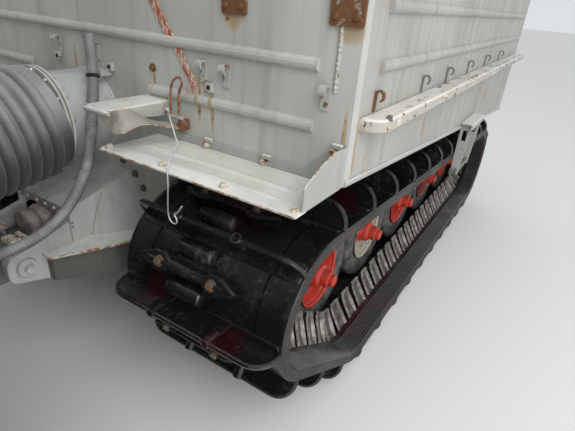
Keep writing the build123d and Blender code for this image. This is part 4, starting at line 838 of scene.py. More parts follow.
def shelf():
    """A U section carried out from the wall, with a rolled nose and an upright right flange."""
    low, high = SHELF_Y
    t, foot = SHELF_SHEET, SHELF_Z - SHELF_DROP
    section = rounded([(low, foot), (low, SHELF_Z), (high, SHELF_Z), (high, foot), (high - t, foot),
                       (high - t, SHELF_Z - t), (low + t, SHELF_Z - t), (low + t, foot)],
                      [0, 0.006, 0.006, 0, 0, 0.004, 0.004, 0], 5)
    rows = []
    for s in (0.0, 0.30, 0.60, 0.86, 0.93, 0.97, 1.0):
        z = SHELF_Z + (section[:, 1] - SHELF_Z) * np.interp(s, (0.0, 0.3, 0.86, 1.0), (1.0, 0.9, 0.55, 0.42))
        inset = 0.006 * max((s - 0.9) / 0.1, 0) ** 2
        y = np.clip(section[:, 0], low + inset, high - inset)
        rows.append(np.stack([np.full(len(z), WALL_X + s * (SHELF_OUT - SHELF_NOSE_R)), y, z], 1))
    nose = [(WALL_X + SHELF_OUT - SHELF_NOSE_R, y, SHELF_Z - SHELF_NOSE_R)
            for y in np.linspace(low + 0.002, high - 0.002, 12)]
    parts = [strip(np.array(rows)), wire(nose, SHELF_NOSE_R, 14, [0.55, 0.85, *[1] * 8, 0.85, 0.55]),
             wire([(WALL_X + 0.004, y, z) for y, z in SHELF_STRIP], 0.004, 8)]
    return parts + put(bolt(0.012), (WALL_X + SHELF_OUT / 2, (low + high) / 2, SHELF_Z - 0.001), look=3)


def ribbon(path, across, width, thick):
    """A flat band along a path: its width along one direction, its thickness across both."""
    step = unit(np.gradient(path, axis=0))
    across = np.broadcast_to(np.asarray(across, float), path.shape)
    across = unit(across - step * (across * step).sum(1)[:, None])
    line = (-0.5, -0.25, 0, 0.25, 0.5)
    band = np.array([(a, -0.5) for a in line] + [(a, 0.5) for a in line[::-1]])
    return carried(path, across * np.broadcast_to(width, len(path))[:, None], np.cross(across, step) * thick, band)


def strap_web():
    """Orange webbing bleached pale in stripes, frayed and dirty."""
    finish = Finish("strap_web", Roughness=0.9, Sheen_Weight=0.2)
    fibre = finish.cloud(0.004, 4.0, (1.0, 0.5, 0.12))
    base = finish.mix(finish.rise(fibre, 0.46, 0.60), (0.40, 0.085, 0.03), (0.66, 0.58, 0.48))
    return finish.give(base, None, fibre, 0.0012)


share, sides = np.linspace(0, 1, 60), []
for line in (FLAP_FAR, FLAP_NEAR):
    line = spline(line)
    sides.append(np.stack([np.interp(share, np.linspace(0, 1, len(line)), line[:, i]) for i in range(3)], 1))
far, near = sides
sheet = np.stack([far + (near - far) * s for s in np.linspace(0, 1, 9)], 1)
facing = np.cross(np.gradient(sheet, axis=0), np.gradient(sheet, axis=1))
facing /= np.maximum(np.linalg.norm(facing, axis=2), 1e-9)[..., None]
left = put(strip(np.concatenate([sheet, (sheet - facing * FLAP_T)[:, ::-1]], 1)), look=2)
left += [part for line in (far, near, sheet[0]) for part in edge_line(line, 0.0014, 3)]
left += put(wire(spline([(LATCH_OFF, y, z) for y, z in LATCH_LOOP], 0.003), LATCH_WIRE), look=4)
left += put(wire([(WALL_X + LATCH_OFF, y, 0.939) for y in (0.372, 0.420)], 0.0055, 12), look=1)
foot = rounded([(0.403, 0.906), (0.422, 0.904), (0.421, 0.930), (0.408, 0.935)], 0.004, 4)
left += put(slab(foot, 0.002, LATCH_OFF + 0.006, 0.002), (WALL_X, 0, 0), AHEAD, 5)
strap = spline([(0.004, y, z) for y, z in STRAP_ROUTE[:-1]] + [(0.024, *STRAP_ROUTE[-1])], 0.003)
fray = 1 - 0.25 * np.linspace(0, 1, len(strap)) + 0.06 * np.sin(np.arange(len(strap)) * 1.7)
left += put(ribbon(strap, (0.15, 1.0, 0.5), STRAP_W * fray, 0.0028), look=6)
for thread in range(STRAP_THREADS):
    aside = thread - STRAP_THREADS // 2
    start = strap[-1 - thread % 3] + (0.001, 0.004 * aside, 0)
    drop = [start, start + (0.004, 0.002 * aside, -0.012), start + (0.005, 0.003 * aside, -0.026)]
    left += put(wire(drop, 0.0007, 5), look=6)
left += put(dome((0.0095, 0), (0.0095, 0.010), (0.006, 0.013), 0.013, count=16), (WALL_X + 0.020, *ROLLER_AT), AHEAD, 0)
left += put(bolt(0.007), (WALL_X + 0.032, *ROLLER_AT), AHEAD, 5)
left += put(wire(spline(TIE_WIRE, 0.003), 0.0019, 8), look=0)
flap_paint = weathered_paint("flap_paint", (0.29, 0.27, 0.235), dirt=(0.09, 0.075, 0.06), stain=0.7)
copper = two_tone("copper_wire", (0.012, 4.0), ((0.42, 0.20, 0.13), (0.16, 0.06, 0.035)), (0.4, 0.65),
                  Metallic=0.55, Roughness=0.42)
piece("shelf_sheets", both(shelf()) + left, [fender_look, grey_sheet, flap_paint, edge_look, copper,
      rusty("orange_rust", 1.1), strap_web()], "rear_car", "fender_paint", "rear_shelves")


# Duct. A warm air duct joins the cars. On each body wall stands a rolled stub with a flange, and the
# rubber bellows between them is clamped to a ring that is bolted to each flange.
DUCT_R, DUCT_WALL, DUCT_FLANGE_R, DUCT_STEPS = 0.125, 0.003, 0.145, 72
FLANGE_T, FLANGE_AT, FLANGE_BOLTS, BOLT_CIRCLE = 0.006, (0.158, 0.170), 14, 0.136
DUCT_SEAM = 1.25


def stub(wall_x, z, way):
    """A tube turned about the duct's axis, its two flanges, the bead at the wall, bolts and a welded seam."""
    out, inner, rim = FLANGE_AT[1], DUCT_R - DUCT_WALL, DUCT_FLANGE_R
    tube = [(inner, 0.0), (DUCT_R, 0.0), (DUCT_R, out - 0.012), (DUCT_R + 0.004, out - 0.004),
            (DUCT_R + 0.004, out), (inner, out), (inner, 0.0)]
    bead = [(DUCT_R, 0), (DUCT_R + 0.005, 0.001), (DUCT_R + 0.004, 0.005), (DUCT_R, 0.007)]
    parts = [turned(tube, DUCT_STEPS, OPEN), turned(bead, DUCT_STEPS, OPEN)]
    for at in FLANGE_AT:
        low, high = at - FLANGE_T / 2, at + FLANGE_T / 2
        flange = [(DUCT_R - 0.002, low), (rim - 0.001, low), (rim, low + 0.001), (rim, high - 0.001),
                  (rim - 0.001, high), (DUCT_R - 0.002, high), (DUCT_R - 0.002, low)]
        parts += put(turned(flange, DUCT_STEPS, OPEN), look=1)
    parts = put(parts, (wall_x, 0, z), ((0, 1, 0), (way, 0, 0)))
    for y, up in spread(FLANGE_BOLTS, 0.6 * math.pi / FLANGE_BOLTS) * BOLT_CIRCLE:
        for at, facing in ((FLANGE_AT[1] + FLANGE_T / 2, way), (FLANGE_AT[0] - FLANGE_T / 2, -way)):
            parts += put(bolt(0.010, 0.0065), (wall_x + way * at, y, z + up), ((0, 1, 0), (facing, 0, 0)), 2)
    y, up = ((DUCT_R + 0.0005) * turn(DUCT_SEAM) for turn in (math.cos, math.sin))
    return parts + [wire([(wall_x + way * u, y, z + up) for u in np.linspace(0.005, out - 0.014, 20)], 0.0022, 6)]


duct_paint = weathered_paint("duct_paint", (0.50, 0.515, 0.51), dirt=(0.20, 0.19, 0.165), gloss=0.34)
flange_rust = [((WALL_X + 0.165, 0.10, 0.90), (0.03, 0.03, 0.05)), ((WALL_X + 0.165, -0.12, 0.93), (0.03, 0.03, 0.03))]
flange_paint = weathered_paint("flange_paint", (0.56, 0.55, 0.51), rust=flange_rust)
zinc_look = two_tone("zinc", (0.01, 4.0), ((0.42, 0.41, 0.39), (0.70, 0.69, 0.67)), rough=(0.3, 0.2, 0.006),
                     Metallic=0.85)
ends = []
for name, way in (("rear", 1), ("front", -1)):
    low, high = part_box(f"{name}_duct_stub")
    near, far, z = *((low.x, high.x) if way > 0 else (high.x, low.x)), (low.z + high.z) / 2
    ends.append(np.array([far, 0.0, z]))
    piece(f"{name}_stub", stub(near, z, way), [duct_paint, flange_paint, zinc_look], f"{name}_car", "body_paint",
          f"{name}_duct_stub")


# Bellows. Corrugated rubber hose of 320 mm between the two flanges, cut like the hose into three
# stretches, one for each of the joint's axes. Narrow grooves part broad round folds.
BELLOWS_CREST, BELLOWS_GROOVE, BELLOWS_PITCH, BELLOWS_T = 0.160, 0.142, 0.032, 0.004
BELLOWS_CUFF, CUFF_R, BELLOWS_CUTS = 0.030, 0.148, (0.0, 0.36, 0.66, 1.0)


def bellows_rubber():
    """Rubber painted light grey where it faces up and near black where it faces down, a painted highlight and shade,
    with pale dust in patches on top and brown spots.
    """
    finish = Finish("bellows_rubber", Sheen_Weight=0.15)
    dust, facing = finish.patches(0.3, 0.7, 0.08, 4.0), finish.facing(-0.35, 0.85)
    # Light grey on faces turned up and near black on faces turned down: painted highlight and shade.
    base = finish.mix(facing, (0.05, 0.05, 0.052), (0.27, 0.275, 0.28))
    base = finish.mix(dust * facing * 0.6, base, (0.44, 0.445, 0.45))
    base = finish.mix(finish.patches(0.68, 0.74, 0.006, 3.0), base, (0.30, 0.27, 0.22))
    return finish.give(base, dust * 0.3 + 0.42, finish.cloud(0.004, 3.0), 0.0005)


bellows_start, bellows_end = ends
bellows_length = float(np.linalg.norm(bellows_end - bellows_start))
bellows_way = (bellows_end - bellows_start) / bellows_length
bellows_look = bellows_rubber()


def bellows_radius(s):
    """Radius at a distance along: folds are the half power of a rectified sine, cuffs are plain."""
    folds = round((bellows_length - 2 * BELLOWS_CUFF) / BELLOWS_PITCH)
    t = (s - BELLOWS_CUFF) / (bellows_length - 2 * BELLOWS_CUFF)
    fold = np.abs(np.sin(np.clip(t, 0, 1) * folds * np.pi)) ** 0.55
    return np.where((t < 0) | (t > 1), CUFF_R, BELLOWS_GROOVE + (BELLOWS_CREST - BELLOWS_GROOVE) * fold)


for (place, first, second), start, end in zip(HOSE_BODIES, BELLOWS_CUTS, BELLOWS_CUTS[1:]):
    start, end = start * bellows_length, end * bellows_length
    s = np.linspace(start, end, int((end - start) / BELLOWS_PITCH * 12))
    outer = np.stack([bellows_radius(s), s], 1)
    wall = turned(np.vstack([outer, outer[::-1] - (BELLOWS_T, 0), outer[:1]]), 64, OPEN)
    tube = piece(f"bellows_{place}_folds", put(wall, bellows_start, ((0, 1, 0), bellows_way)), [bellows_look],
                 None, "bellows_rubber", f"bellows_{place}")
    tuple(bellows_start + bellows_way * end)
    tuple(bellows_start + bellows_way * start)
    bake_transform(tube)


# Drawbar. Two cheeks carry the pitch pin under a sloping top plate, whose sides are folded down and
# flare out to the hull. A ledge below them widens to the hull, and a rubber boot covers the roll shaft.
PIN_OUT, JOINT_Z, CHEEK_Y = 0.350, 0.520, (0.095, 0.126)
TOP_OUT, TOP_Z, TOP_FALL, TOP_HALF = 0.210, 0.715, 0.324, (0.152, 0.135)
FLARE_OUT, FLANGE_DOWN, LEDGE_TOP, LEDGE_T, LEDGE_INSET = 0.153, 0.025, 0.542, 0.008, 0.012
LEDGE_OUTLINE = ((0.0, 0.095), (0.299, 0.095), (0.306, 0.163), (0.140, 0.242), (0.0, 0.280))
LEDGE_LOW = (0.424, 0.455)
CHEEK_OUTLINE = ((0.0, 0.372), (0.289, 0.452), (0.398, 0.484), (0.398, 0.560), (0.330, 0.572), (0.0, 0.66))
MARKS = ((0.150, -0.062), (0.160, 0.057))
WALL_BOLTS = ((0.128, 0.745), (0.180, 0.712), (0.212, 0.672))
DRAWBAR_RUST = ((0.10, -0.058, 0.683), (0.10, 0.014, 0.683), (0.205, 0.02, 0.64), (0.18, 0.12, 0.56))
BOOT_RINGS, BOOT_R = 4, (0.038, 0.050)


def bar(x, y, z, edge=0.002):
    """A block between the two values of each pair, its upper and lower edges broken."""
    return slab(oblong(x, y), *z, edge)


def side_y(u, z):
    """How far out the flared side lies at a reach and a height: a straight line from fold to foot."""
    top = TOP_Z - TOP_FALL * u
    fold = TOP_HALF[0] + (TOP_HALF[1] - TOP_HALF[0]) * u / TOP_OUT
    foot = 0.137 + max(FLARE_OUT - u, 0) * 0.64
    return fold + (foot - fold) * (top - z) / (top - LEDGE_TOP)


def flare():
    """Half the top: sections across at distances u from the wall, flat to a sharp fold, then down the side."""
    rows = []
    for u in np.linspace(0, TOP_OUT, 22):
        z = TOP_Z - TOP_FALL * u
        down, fold = z - (z - LEDGE_TOP) * np.linspace(0.02, 1, 7), side_y(u, z)
        line = [(0, z), (fold - 0.004, z), (fold - 0.001, z - 0.001), *((side_y(u, w), w) for w in down),
                (CHEEK_Y[0], LEDGE_TOP), (CHEEK_Y[0], z - 0.012), (0, z - 0.012)]
        rows.append([(WALL_X + u, across, up) for across, up in line])
    return strip(np.array(rows))


corners = np.array(LEDGE_OUTLINE) + (WALL_X, 0)
ledge = rounded(corners, [0, 0.002, 0.005, 0.03, 0], 5)
points, faces = slab(ledge, LEDGE_TOP - LEDGE_T, LEDGE_TOP, 0.003)
half = [flare(), (points, faces[:-2], 2), (points, faces[-2:], 5)]
# Under the ledge stands an inset box in near black paint, a painted shade for the recess below the ledge.
points, faces = slab(rounded(corners - LEDGE_INSET, [0, 0.002, 0.008, 0.03, 0], 5), LEDGE_LOW[0],
                     LEDGE_TOP - LEDGE_T, 0.001)
points[:, 0] = np.maximum(points[:, 0], WALL_X)
points[:, 2] += (points[:, 2] < 0.5) * (points[:, 0] - WALL_X) / 0.3 * (LEDGE_LOW[1] - LEDGE_LOW[0])
half += [(points, faces, 6), *edge_line([(x, y, LEDGE_TOP - 0.003) for x, y in ledge if y > 0.13], 0.0030)]
# The first bead, cream along the fold, is a painted highlight on the fold's edge.
for line, radius, look in (
        ([(u, 0.0) for u in np.linspace(0.0, TOP_OUT, 8)], 0.0016, 1),
        ([(0.104, 0.010), (0.126, 0.045), (0.141, 0.088), (0.149, 0.125)], 0.0013, 3),
        ([(u, 9.0) for u in np.linspace(0.0, 0.29, 12)], 0.0028, 0)):
    line = [(u, max(TOP_Z - TOP_FALL * u - down, LEDGE_TOP)) for u, down in line]
    half += edge_line([(WALL_X + u, side_y(u, z), z) for u, z in line], radius, look)
for z in (0.604, 0.590):
    rivet = dome((0.004, 0), (0.003, 0.002), 0.003, count=12)
    half += put(rivet, (WALL_X + 0.205, side_y(0.205, z), z), OUTWARD, 3)
cheek = rounded([(WALL_X + u, z) for u, z in CHEEK_OUTLINE], [0, 0.05, 0.030, 0.034, 0.01, 0], 10)
washer = dome((0.028, 0), (0.028, 0.008), (0.026, 0.010), 0.010, count=12)
half += [standing(cheek, *CHEEK_Y, 0.002), *put(washer, (WALL_X + PIN_OUT, CHEEK_Y[1], JOINT_Z), OUTWARD),
         *put(bolt(0.023), (WALL_X + PIN_OUT, CHEEK_Y[1] + 0.010, JOINT_Z), OUTWARD)]
whole = [bar((WALL_X + 0.120, WALL_X + 0.130), (-CHEEK_Y[0], CHEEK_Y[0]), (0.430, 0.652))]
lip_y = np.linspace(TOP_HALF[1], -TOP_HALF[1], 25)
nicks = 0.0022 * np.sin(lip_y * 190) * np.sin(lip_y * 61 + 1) + 0.0015 * np.sin(lip_y * 410)
front_z = TOP_Z - TOP_FALL * TOP_OUT
lip = [(-TOP_HALF[1], front_z), (TOP_HALF[1], front_z), *zip(lip_y, front_z - FLANGE_DOWN + nicks)]
whole += put(slab(lip, 0, 0.006, 0.001), (WALL_X + TOP_OUT - 0.005, 0, 0), AHEAD, 3)
whole += edge_line([(WALL_X + TOP_OUT - 0.001, y, front_z - FLANGE_DOWN + nick) for y, nick in zip(lip_y, nicks)], 0.0022)
for y in np.linspace(-0.11, 0.11, 6):
    whole += put(bolt(0.009), (WALL_X + TOP_OUT + 0.001, y, front_z - 0.013), AHEAD)
for u, y in MARKS:
    mark = slab(oblong((-0.013, 0.013), (-0.004, 0.004), 0.0039, 4), 0, 0.0028, 0.001)
    whole += put(mark, (WALL_X + u, y, TOP_Z - TOP_FALL * u - 0.0005), ((0.2, 1, 0), (TOP_FALL, 0, 1)))
for place in WALL_BOLTS:
    whole += put(bolt(0.015, 0.012), (WALL_X, *place), AHEAD, 4)
drawbar_rust = [((WALL_X + u, y, z), (0.022, 0.016, 0.03)) for u, y, z in DRAWBAR_RUST]
drawbar_paint = weathered_paint("drawbar_paint", (0.50, 0.515, 0.49), low=(0.24, 0.46), rust=drawbar_rust, stain=0.4)
# The near black box paint is painted shade under the ledge.
piece("drawbar_plates", both(half) + whole,
      [drawbar_paint, fender_look, edge_look, hull_paint, rust_bolt, band_paint,
       weathered_paint("box_shade_paint", (0.085, 0.083, 0.075))], "rear_car", "body_paint", "drawbar")

lug_block = bar((WALL_X + 0.306, WALL_X + 0.360), (0.036, 0.089), (0.5655, 0.588), 0.006)
piece("collar_lugs", both([lug_block]), [tan_bolt], "roll_collar", "dark_steel")

low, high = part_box("shaft_boot")
s = np.linspace(0, high.x - low.x, 97)
fold = np.abs(np.sin(s / s[-1] * BOOT_RINGS * np.pi)) ** 0.5
boot = turned(np.stack([BOOT_R[0] + (BOOT_R[1] - BOOT_R[0]) * fold, s], 1), 40)
boot_rubber = two_tone("boot_rubber", (0.03, 4.0), ((0.12, 0.105, 0.09), (0.30, 0.27, 0.235)), (0.3, 0.7),
                       None, (0.006, 4.0), 0.0008, Roughness=0.75)
piece("boot_rings", put(boot, (low.x, 0, (low.z + high.z) / 2), AHEAD), [boot_rubber], "rear_car", "bellows_rubber",
      "shaft_boot")


# Wheels. Each car has two rows of five road wheels: a low rubber tyre with rings on its walls, a dished
# steel rim with a rolled lip and nuts, and a stepped hub. Most rims are red, and one is cream.
TYRE_Y, RIM_R = 0.620, 0.128
TYRE_RINGS = ((0.150, 0.0015), (0.162, 0.0025), (0.176, 0.0015), (0.190, 0.0025))
WHEEL_NUTS, NUT_CIRCLE, HUB_CAPS, CAP_CIRCLE = 8, 0.083, 6, 0.040
HUB_STEPS = ((0.060, 0.612), (0.060, 0.640), (0.050, 0.652), (0.046, 0.676), (0.034, 0.686), (0.031, 0.712),
             (0.024, 0.716), (0.023, 0.730), (0.018, 0.733))
CREAM_WHEEL, DARK_WHEEL, SPIN = 1, 3, 0.7


def tyre_profile():
    """The tyre's wall from its bead up: a rounded rectangle with raised rings on the walls."""
    half = TYRE_W / 2
    steps = np.linspace(RIM_R + 0.004, TYRE_R - 0.018, 30)
    bulge = half - 0.010 * (1 - np.sin(np.linspace(0.15, 1, 30) * np.pi / 2))
    bulge += sum(up * np.exp(-((steps - middle) / 0.0035) ** 2) for middle, up in TYRE_RINGS)
    round_off = np.linspace(0.1, np.pi / 2, 6)
    wall = np.array([(RIM_R - 0.004, half - 0.018), (RIM_R, half - 0.012), *zip(steps, np.minimum(bulge, half)),
                     *((TYRE_R - 0.016 + 0.016 * math.sin(a), half - 0.016 + 0.016 * math.cos(a)) for a in round_off)])
    return np.vstack([wall, (wall * (1, -1))[::-1]])


def wheel(red):
    """Tyre, rim, nuts and hub round the Z axis, Z pointing outwards from the tyre's middle."""
    outer = TYRE_W / 2
    rim = [(RIM_R - 0.008, outer - 0.006), (RIM_R - 0.003, outer - 0.001), (RIM_R + 0.001, outer - 0.0005),
           (RIM_R, outer - 0.004), (RIM_R - 0.006, outer - 0.010), (RIM_R - 0.012, 0.030), (0.112, 0.018),
           (0.104, -0.004), (0.092, -0.012), (0.070, -0.012), (0.056, -0.010)]
    behind = [(0.056, -0.016), (0.092, -0.018), (RIM_R - 0.01, 0.010), (RIM_R - 0.001, 0.004 - outer)]
    hub = [(0.060, -0.030), *((r, y - TYRE_Y) for r, y in HUB_STEPS), HUB_STEPS[-1][1] - TYRE_Y + 0.001]
    parts = put(turned(tyre_profile()[::-1], 56, OPEN), look=0) + put(dome(*hub, count=32), look=1)
    parts += put([turned([behind[-1], *rim], 56, OPEN), turned(behind, 56, OPEN)], look=red)
    parts += circle_of(bolt(0.017, 0.013), WHEEL_NUTS, NUT_CIRCLE, height=-0.0125, look=red)
    return parts + circle_of(bolt(0.010), HUB_CAPS, CAP_CIRCLE, math.pi / HUB_CAPS, 0.0495, 1)


def old_enamel(name, colour, dirt=(0.09, 0.06, 0.045), share=0.5):
    """Gloss enamel with dirt in clouds, chips down to brown, and a fine dust."""
    finish = Finish(name, Coat_Weight=0.25)
    patch = finish.cloud(0.03, 5.0)
    base = finish.mix(finish.rise(patch, 0.52, 0.75) * share, colour, dirt)
    base = finish.mix(finish.patches(0.66, 0.70, 0.008, 3.0), base, (0.16, 0.07, 0.035))
    return finish.give(base, finish.rise(patch, 0.3, 0.8) * 0.35 + 0.35, patch)


tyre_rubber = two_tone("tyre_rubber", (0.04, 5.0), ((0.035, 0.033, 0.032), (0.14, 0.133, 0.125)), (0.3, 0.72),
                       None, (0.01, 4.0), 0.0008, Roughness=0.72)
wheel_looks = [tyre_rubber, old_enamel("red_paint", (0.50, 0.035, 0.018)),
               old_enamel("cream_rim", (0.42, 0.40, 0.33), (0.14, 0.11, 0.08), 0.8),
               old_enamel("dark_rim", (0.20, 0.035, 0.022), share=0.9)]
for name, car_x in CARS.items():
    parts = []
    for number in range(WHEELS):
        way = (math.cos(number * SPIN), 0, math.sin(number * SPIN)), (0, 1, 0)
        look = {CREAM_WHEEL: 2, DARK_WHEEL: 3}.get(number, 1)
        parts += put(wheel(look), (car_x - FIRST_WHEEL - number * WHEEL_PITCH, TYRE_Y, WHEEL_Z), way)
    for kind, slot in (("tyres", "tyre_rubber"), ("hubs", "red_paint")):
        chosen = [part for part in parts if (part[2] == 0) == (kind == "tyres")]
        piece(f"{name}_wheel_{kind}", both(chosen), wheel_looks, f"{name}_car", slot, f"{name}_{kind}")


# Sprockets. Two toothed rims are bolted to a drum inside the front end of each track.
TEETH, TIP_R, ROOT_R = 11, 0.1690, 0.1385
TOOTH_FORM = ((0.0, ROOT_R), (0.42, ROOT_R), (0.60, TIP_R), (0.78, TIP_R))
RIM_FACES, RIM_BOLTS, RIM_BOLT_CIRCLE = ((0.530, 0.550), (0.690, 0.710)), 8, 0.098
DRUM = ((0.062, 0.500), (0.070, 0.506), (0.070, 0.712), (0.060, 0.718), (0.060, 0.734), (0.050, 0.740), (0.030, 0.740),
        (0.028, 0.732), 0.732)

teeth = [(radius, (number + share) * 2 * math.pi / TEETH) for number in range(TEETH) for share, radius in TOOTH_FORM]
teeth = rounded([(radius * math.cos(angle), radius * math.sin(angle)) for radius, angle in teeth], 0.006, 3)
sprocket = [dome(*DRUM, count=40)]
for low, high in RIM_FACES:
    sprocket += [slab(teeth, low, high, 0.003),
                 *circle_of(bolt(0.017, 0.013), RIM_BOLTS, RIM_BOLT_CIRCLE, height=high, look=1)]
for name, car_x in CARS.items():
    piece(f"{name}_sprocket_rims", both(put(sprocket, (car_x, 0, SPROCKET_Z), OUTWARD)), [hull_paint, rust_bolt],
          f"{name}_car", "dark_steel", f"{name}_sprockets")


# Rub rails. A tube along each body side with a rounded front end, its white paint cracked and peeling.
# Below it a step hangs on two slotted straps, and the side's lower edge is folded out.
RAIL_IN, RAIL_OUT, RAIL_Z, RAIL_BOLT_GAP = 0.880, 0.936, (0.988, 1.020), 0.42
BODY_HALF, FOLD_UP, FOLD_OUT = 0.880, 0.014, 0.004
STEP_AT = {"rear": WALL_X - 1.390, "front": 2.18}
STEP_HALF, STEP_STRAPS, STEP_LOW = 0.140, 0.110, 0.540
STRAP_IN, STRAP_WIDE, STRAP_NARROW, STRAP_T, SLOT = 0.881, 0.049, 0.035, 0.007, (0.030, 0.080)
SIDE_HOOKS = (0.11, 0.47, 0.75, 1.08, 1.45, 1.85)


def peeling_paint():
    """White paint in flakes that lie along the rail, over brown and black, with painted shade on the faces that do not
    face up.
    """
    finish = Finish("rail_paint")
    flakes = finish.cloud(0.026, 6.0, (0.4, 1.0, 1.0), 0.68)
    gone = finish.rise(flakes, 0.585, 0.61)
    under = finish.mix(finish.cloud(0.01, 4.0), (0.05, 0.038, 0.028), (0.24, 0.17, 0.11))
    shade = finish.mix(finish.patches(0.35, 0.65, 0.2, 3.0), (0.58, 0.56, 0.50), (0.70, 0.68, 0.63))
    # Faces that do not face up are darkened: painted shade on the rail's sides.
    shade = finish.mix(finish.facing(-0.2, 0.8), (0.43, 0.40, 0.34), shade)
    return finish.give(finish.mix(gone, shade, under), gone * 0.4 + 0.35, gone * -1.0 + flakes, 0.0012)


def sill(x, car_x):
    """The body's lower edge falls evenly from the sprocket to the last wheel."""
    return FENDER_Z - 0.1892 * (car_x - x) / LAST_WHEEL


def slotted_strap(x, top):
    """A flat bar that faces forward and narrows downwards, with one slot: whole, parted, whole."""
    cuts, parts = [top, top - SLOT[0], top - SLOT[1], STEP_LOW], []
    for number, ends in enumerate(zip(cuts, cuts[1:])):
        first, last = (STRAP_WIDE + (STRAP_NARROW - STRAP_WIDE) * (top - z) / (top - STEP_LOW) for z in ends)
        for a, b in [(0, 0.28), (0.72, 1)] if number == 1 else [(0, 1)]:
            outline = [(first * a, ends[0]), (first * b, ends[0]), (last * b, ends[1]), (last * a, ends[1])]
            parts += put(slab(outline, 0, STRAP_T, 0.001), (x, STRAP_IN, 0), AHEAD)
    return parts


def cane_hook():
    """A strip that rises and curls over outwards: a straight line, then two thirds of a circle."""
    curl = np.linspace(np.pi, -0.35 * np.pi, 12)
    out, up = np.r_[0.0, 0.010 + 0.010 * np.cos(curl)], np.r_[-0.030, 0.006 + 0.012 * np.sin(curl)]
    return ribbon(np.stack([out, 0 * out, up], 1), (0, 1, 0), 0.013, 0.0045)


rail_paint = peeling_paint()
joint_paint = weathered_paint("joint_paint", (0.13, 0.13, 0.125), low=(0.36, 0.60), gloss=0.5)
for name, car_x in CARS.items():
    low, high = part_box(f"{name}_rails")
    front_x = WALL_X - 0.040 if name == "rear" else high.x
    outline = oblong((low.x, front_x), (RAIL_IN, RAIL_OUT), [0, 0, 0.044, 0.003], 9)
    parts = [slab(outline, *RAIL_Z, 0.005)]
    for x in np.arange(front_x - 0.10, low.x + 0.05, -RAIL_BOLT_GAP):
        parts += put(dome((0.011, 0), (0.0095, 0.0025), (0.005, 0.0037), 0.004), (x, RAIL_OUT, sum(RAIL_Z) / 2), OUTWARD, 1)
    parts += put(bolt(0.012, 0.010), (front_x - 0.036, RAIL_OUT - 0.005, RAIL_Z[0] + 0.012), OUTWARD, 1)
    middle = STEP_AT[name]
    strap_top = sill(middle, car_x) + 0.035
    for x in (middle - STEP_STRAPS, middle + STEP_STRAPS):
        parts += put(slotted_strap(x, strap_top), look=2)
    plate, tread = ((middle - half, middle + half) for half in (STEP_STRAPS + 0.03, STEP_HALF))
    parts += put([bar(plate, (0.881, 0.934), (strap_top, strap_top + 0.006)),
                  bar(plate, (0.928, 0.934), (strap_top - 0.022, strap_top))], look=2)
    parts += put([bar(tread, deep, (STEP_LOW, STEP_LOW + 0.030)) for deep in ((0.881, 0.889), (0.904, 0.912))], look=3)
    piece(f"{name}_rub_rails", both(parts), [rail_paint, tan_bolt, fender_look, joint_paint], f"{name}_car",
          "fender_paint", f"{name}_rails")
    ends = np.array([(x, BODY_HALF + FOLD_OUT / 2, sill(x, car_x) + FOLD_UP / 2) for x in (low.x + 0.002, front_x + 0.036)])
    fold = oblong((-FOLD_OUT / 2, FOLD_OUT / 2), (-FOLD_UP / 2, FOLD_UP / 2), 0.0015, 3)
    trim = [carried(ends, (0, 1, 0), (0, 0, 1), fold)]
    for number, out in enumerate(SIDE_HOOKS if name == "rear" else ()):
        trim += put(cane_hook(), (WALL_X - out, BODY_HALF + 0.001, 1.052), ((0, 1, 0), (0, 0, 1)), 1 + (number == 0))
    piece(f"{name}_side_trim", both(trim), [fender_look, joint_paint, socket_rust], f"{name}_car", "body_paint")


# Joint. The yoke, the link on the yaw pin and the collar are thick plates painted dark grey. Two
# cylinders with bright rods steer the joint.
chrome_look = two_tone("chrome", (0.02, 4.0), ((0.55, 0.55, 0.54), (0.75, 0.75, 0.74)), rough=(0.2, 0.08, 0.01),
                       Metallic=1.0)
dress("steering_yoke steering_link roll_collar tow_hitch tow_eye engine_block", joint_paint)
dress("cylinder_barrel_left cylinder_barrel_right", weathered_paint("cylinder_paint", (0.19, 0.20, 0.19)))
dress("cylinder_rod_left cylinder_rod_right", chrome_look)


# Nose. Two flat panes in black rubber seals, a parked wiper below each, lamps in bright rings and
# small amber lamps beside them.
NOSE_X, WAIST_Z, ROOF_Z, RAKE = 2.835, 1.320, 2.180, 0.100
PANE_Y, PANE_Z = (0.060, 0.740), (1.400, 2.060)
SEAL_SECTION = ((-0.014, 0.000), (0.012, 0.000), (0.010, 0.007), (0.002, 0.010), (-0.008, 0.008), (-0.014, 0.004))
WIPER_FOOT, WIPER_TIP, BLADE_END = (0.640, 1.345), (0.380, 1.440), (0.130, 0.650)
LAMP_SHELL = ((0.060, 0.000), (0.079, 0.010), (0.086, 0.024), (0.088, 0.040))
LAMP_RING = ((0.088, 0.038), (0.0895, 0.044), (0.0885, 0.052), (0.084, 0.056), (0.078, 0.055), (0.076, 0.050))
LAMP_BOWL = ((0.0762, 0.051), (0.070, 0.034), (0.050, 0.016), (0.020, 0.008), (0.0001, 0.007))
LAMP_LENS = ((0.0768, 0.053), (0.070, 0.0562), (0.040, 0.0590), (0.0001, 0.0598))
TURN_LAMP = ((0.034, 0.000), (0.034, 0.010), (0.031, 0.012), (0.030, 0.020), (0.022, 0.026), (0.0001, 0.028))
TURN_LAMP_Y, LAMP_Y, LAMP_Z = 0.520, 0.690, 1.060


def nose_x(z):
    """The nose's face: upright to the waist, then leaning back evenly to the roof."""
    return NOSE_X - RAKE * max(z - WAIST_Z, 0) / (ROOF_Z - WAIST_Z)


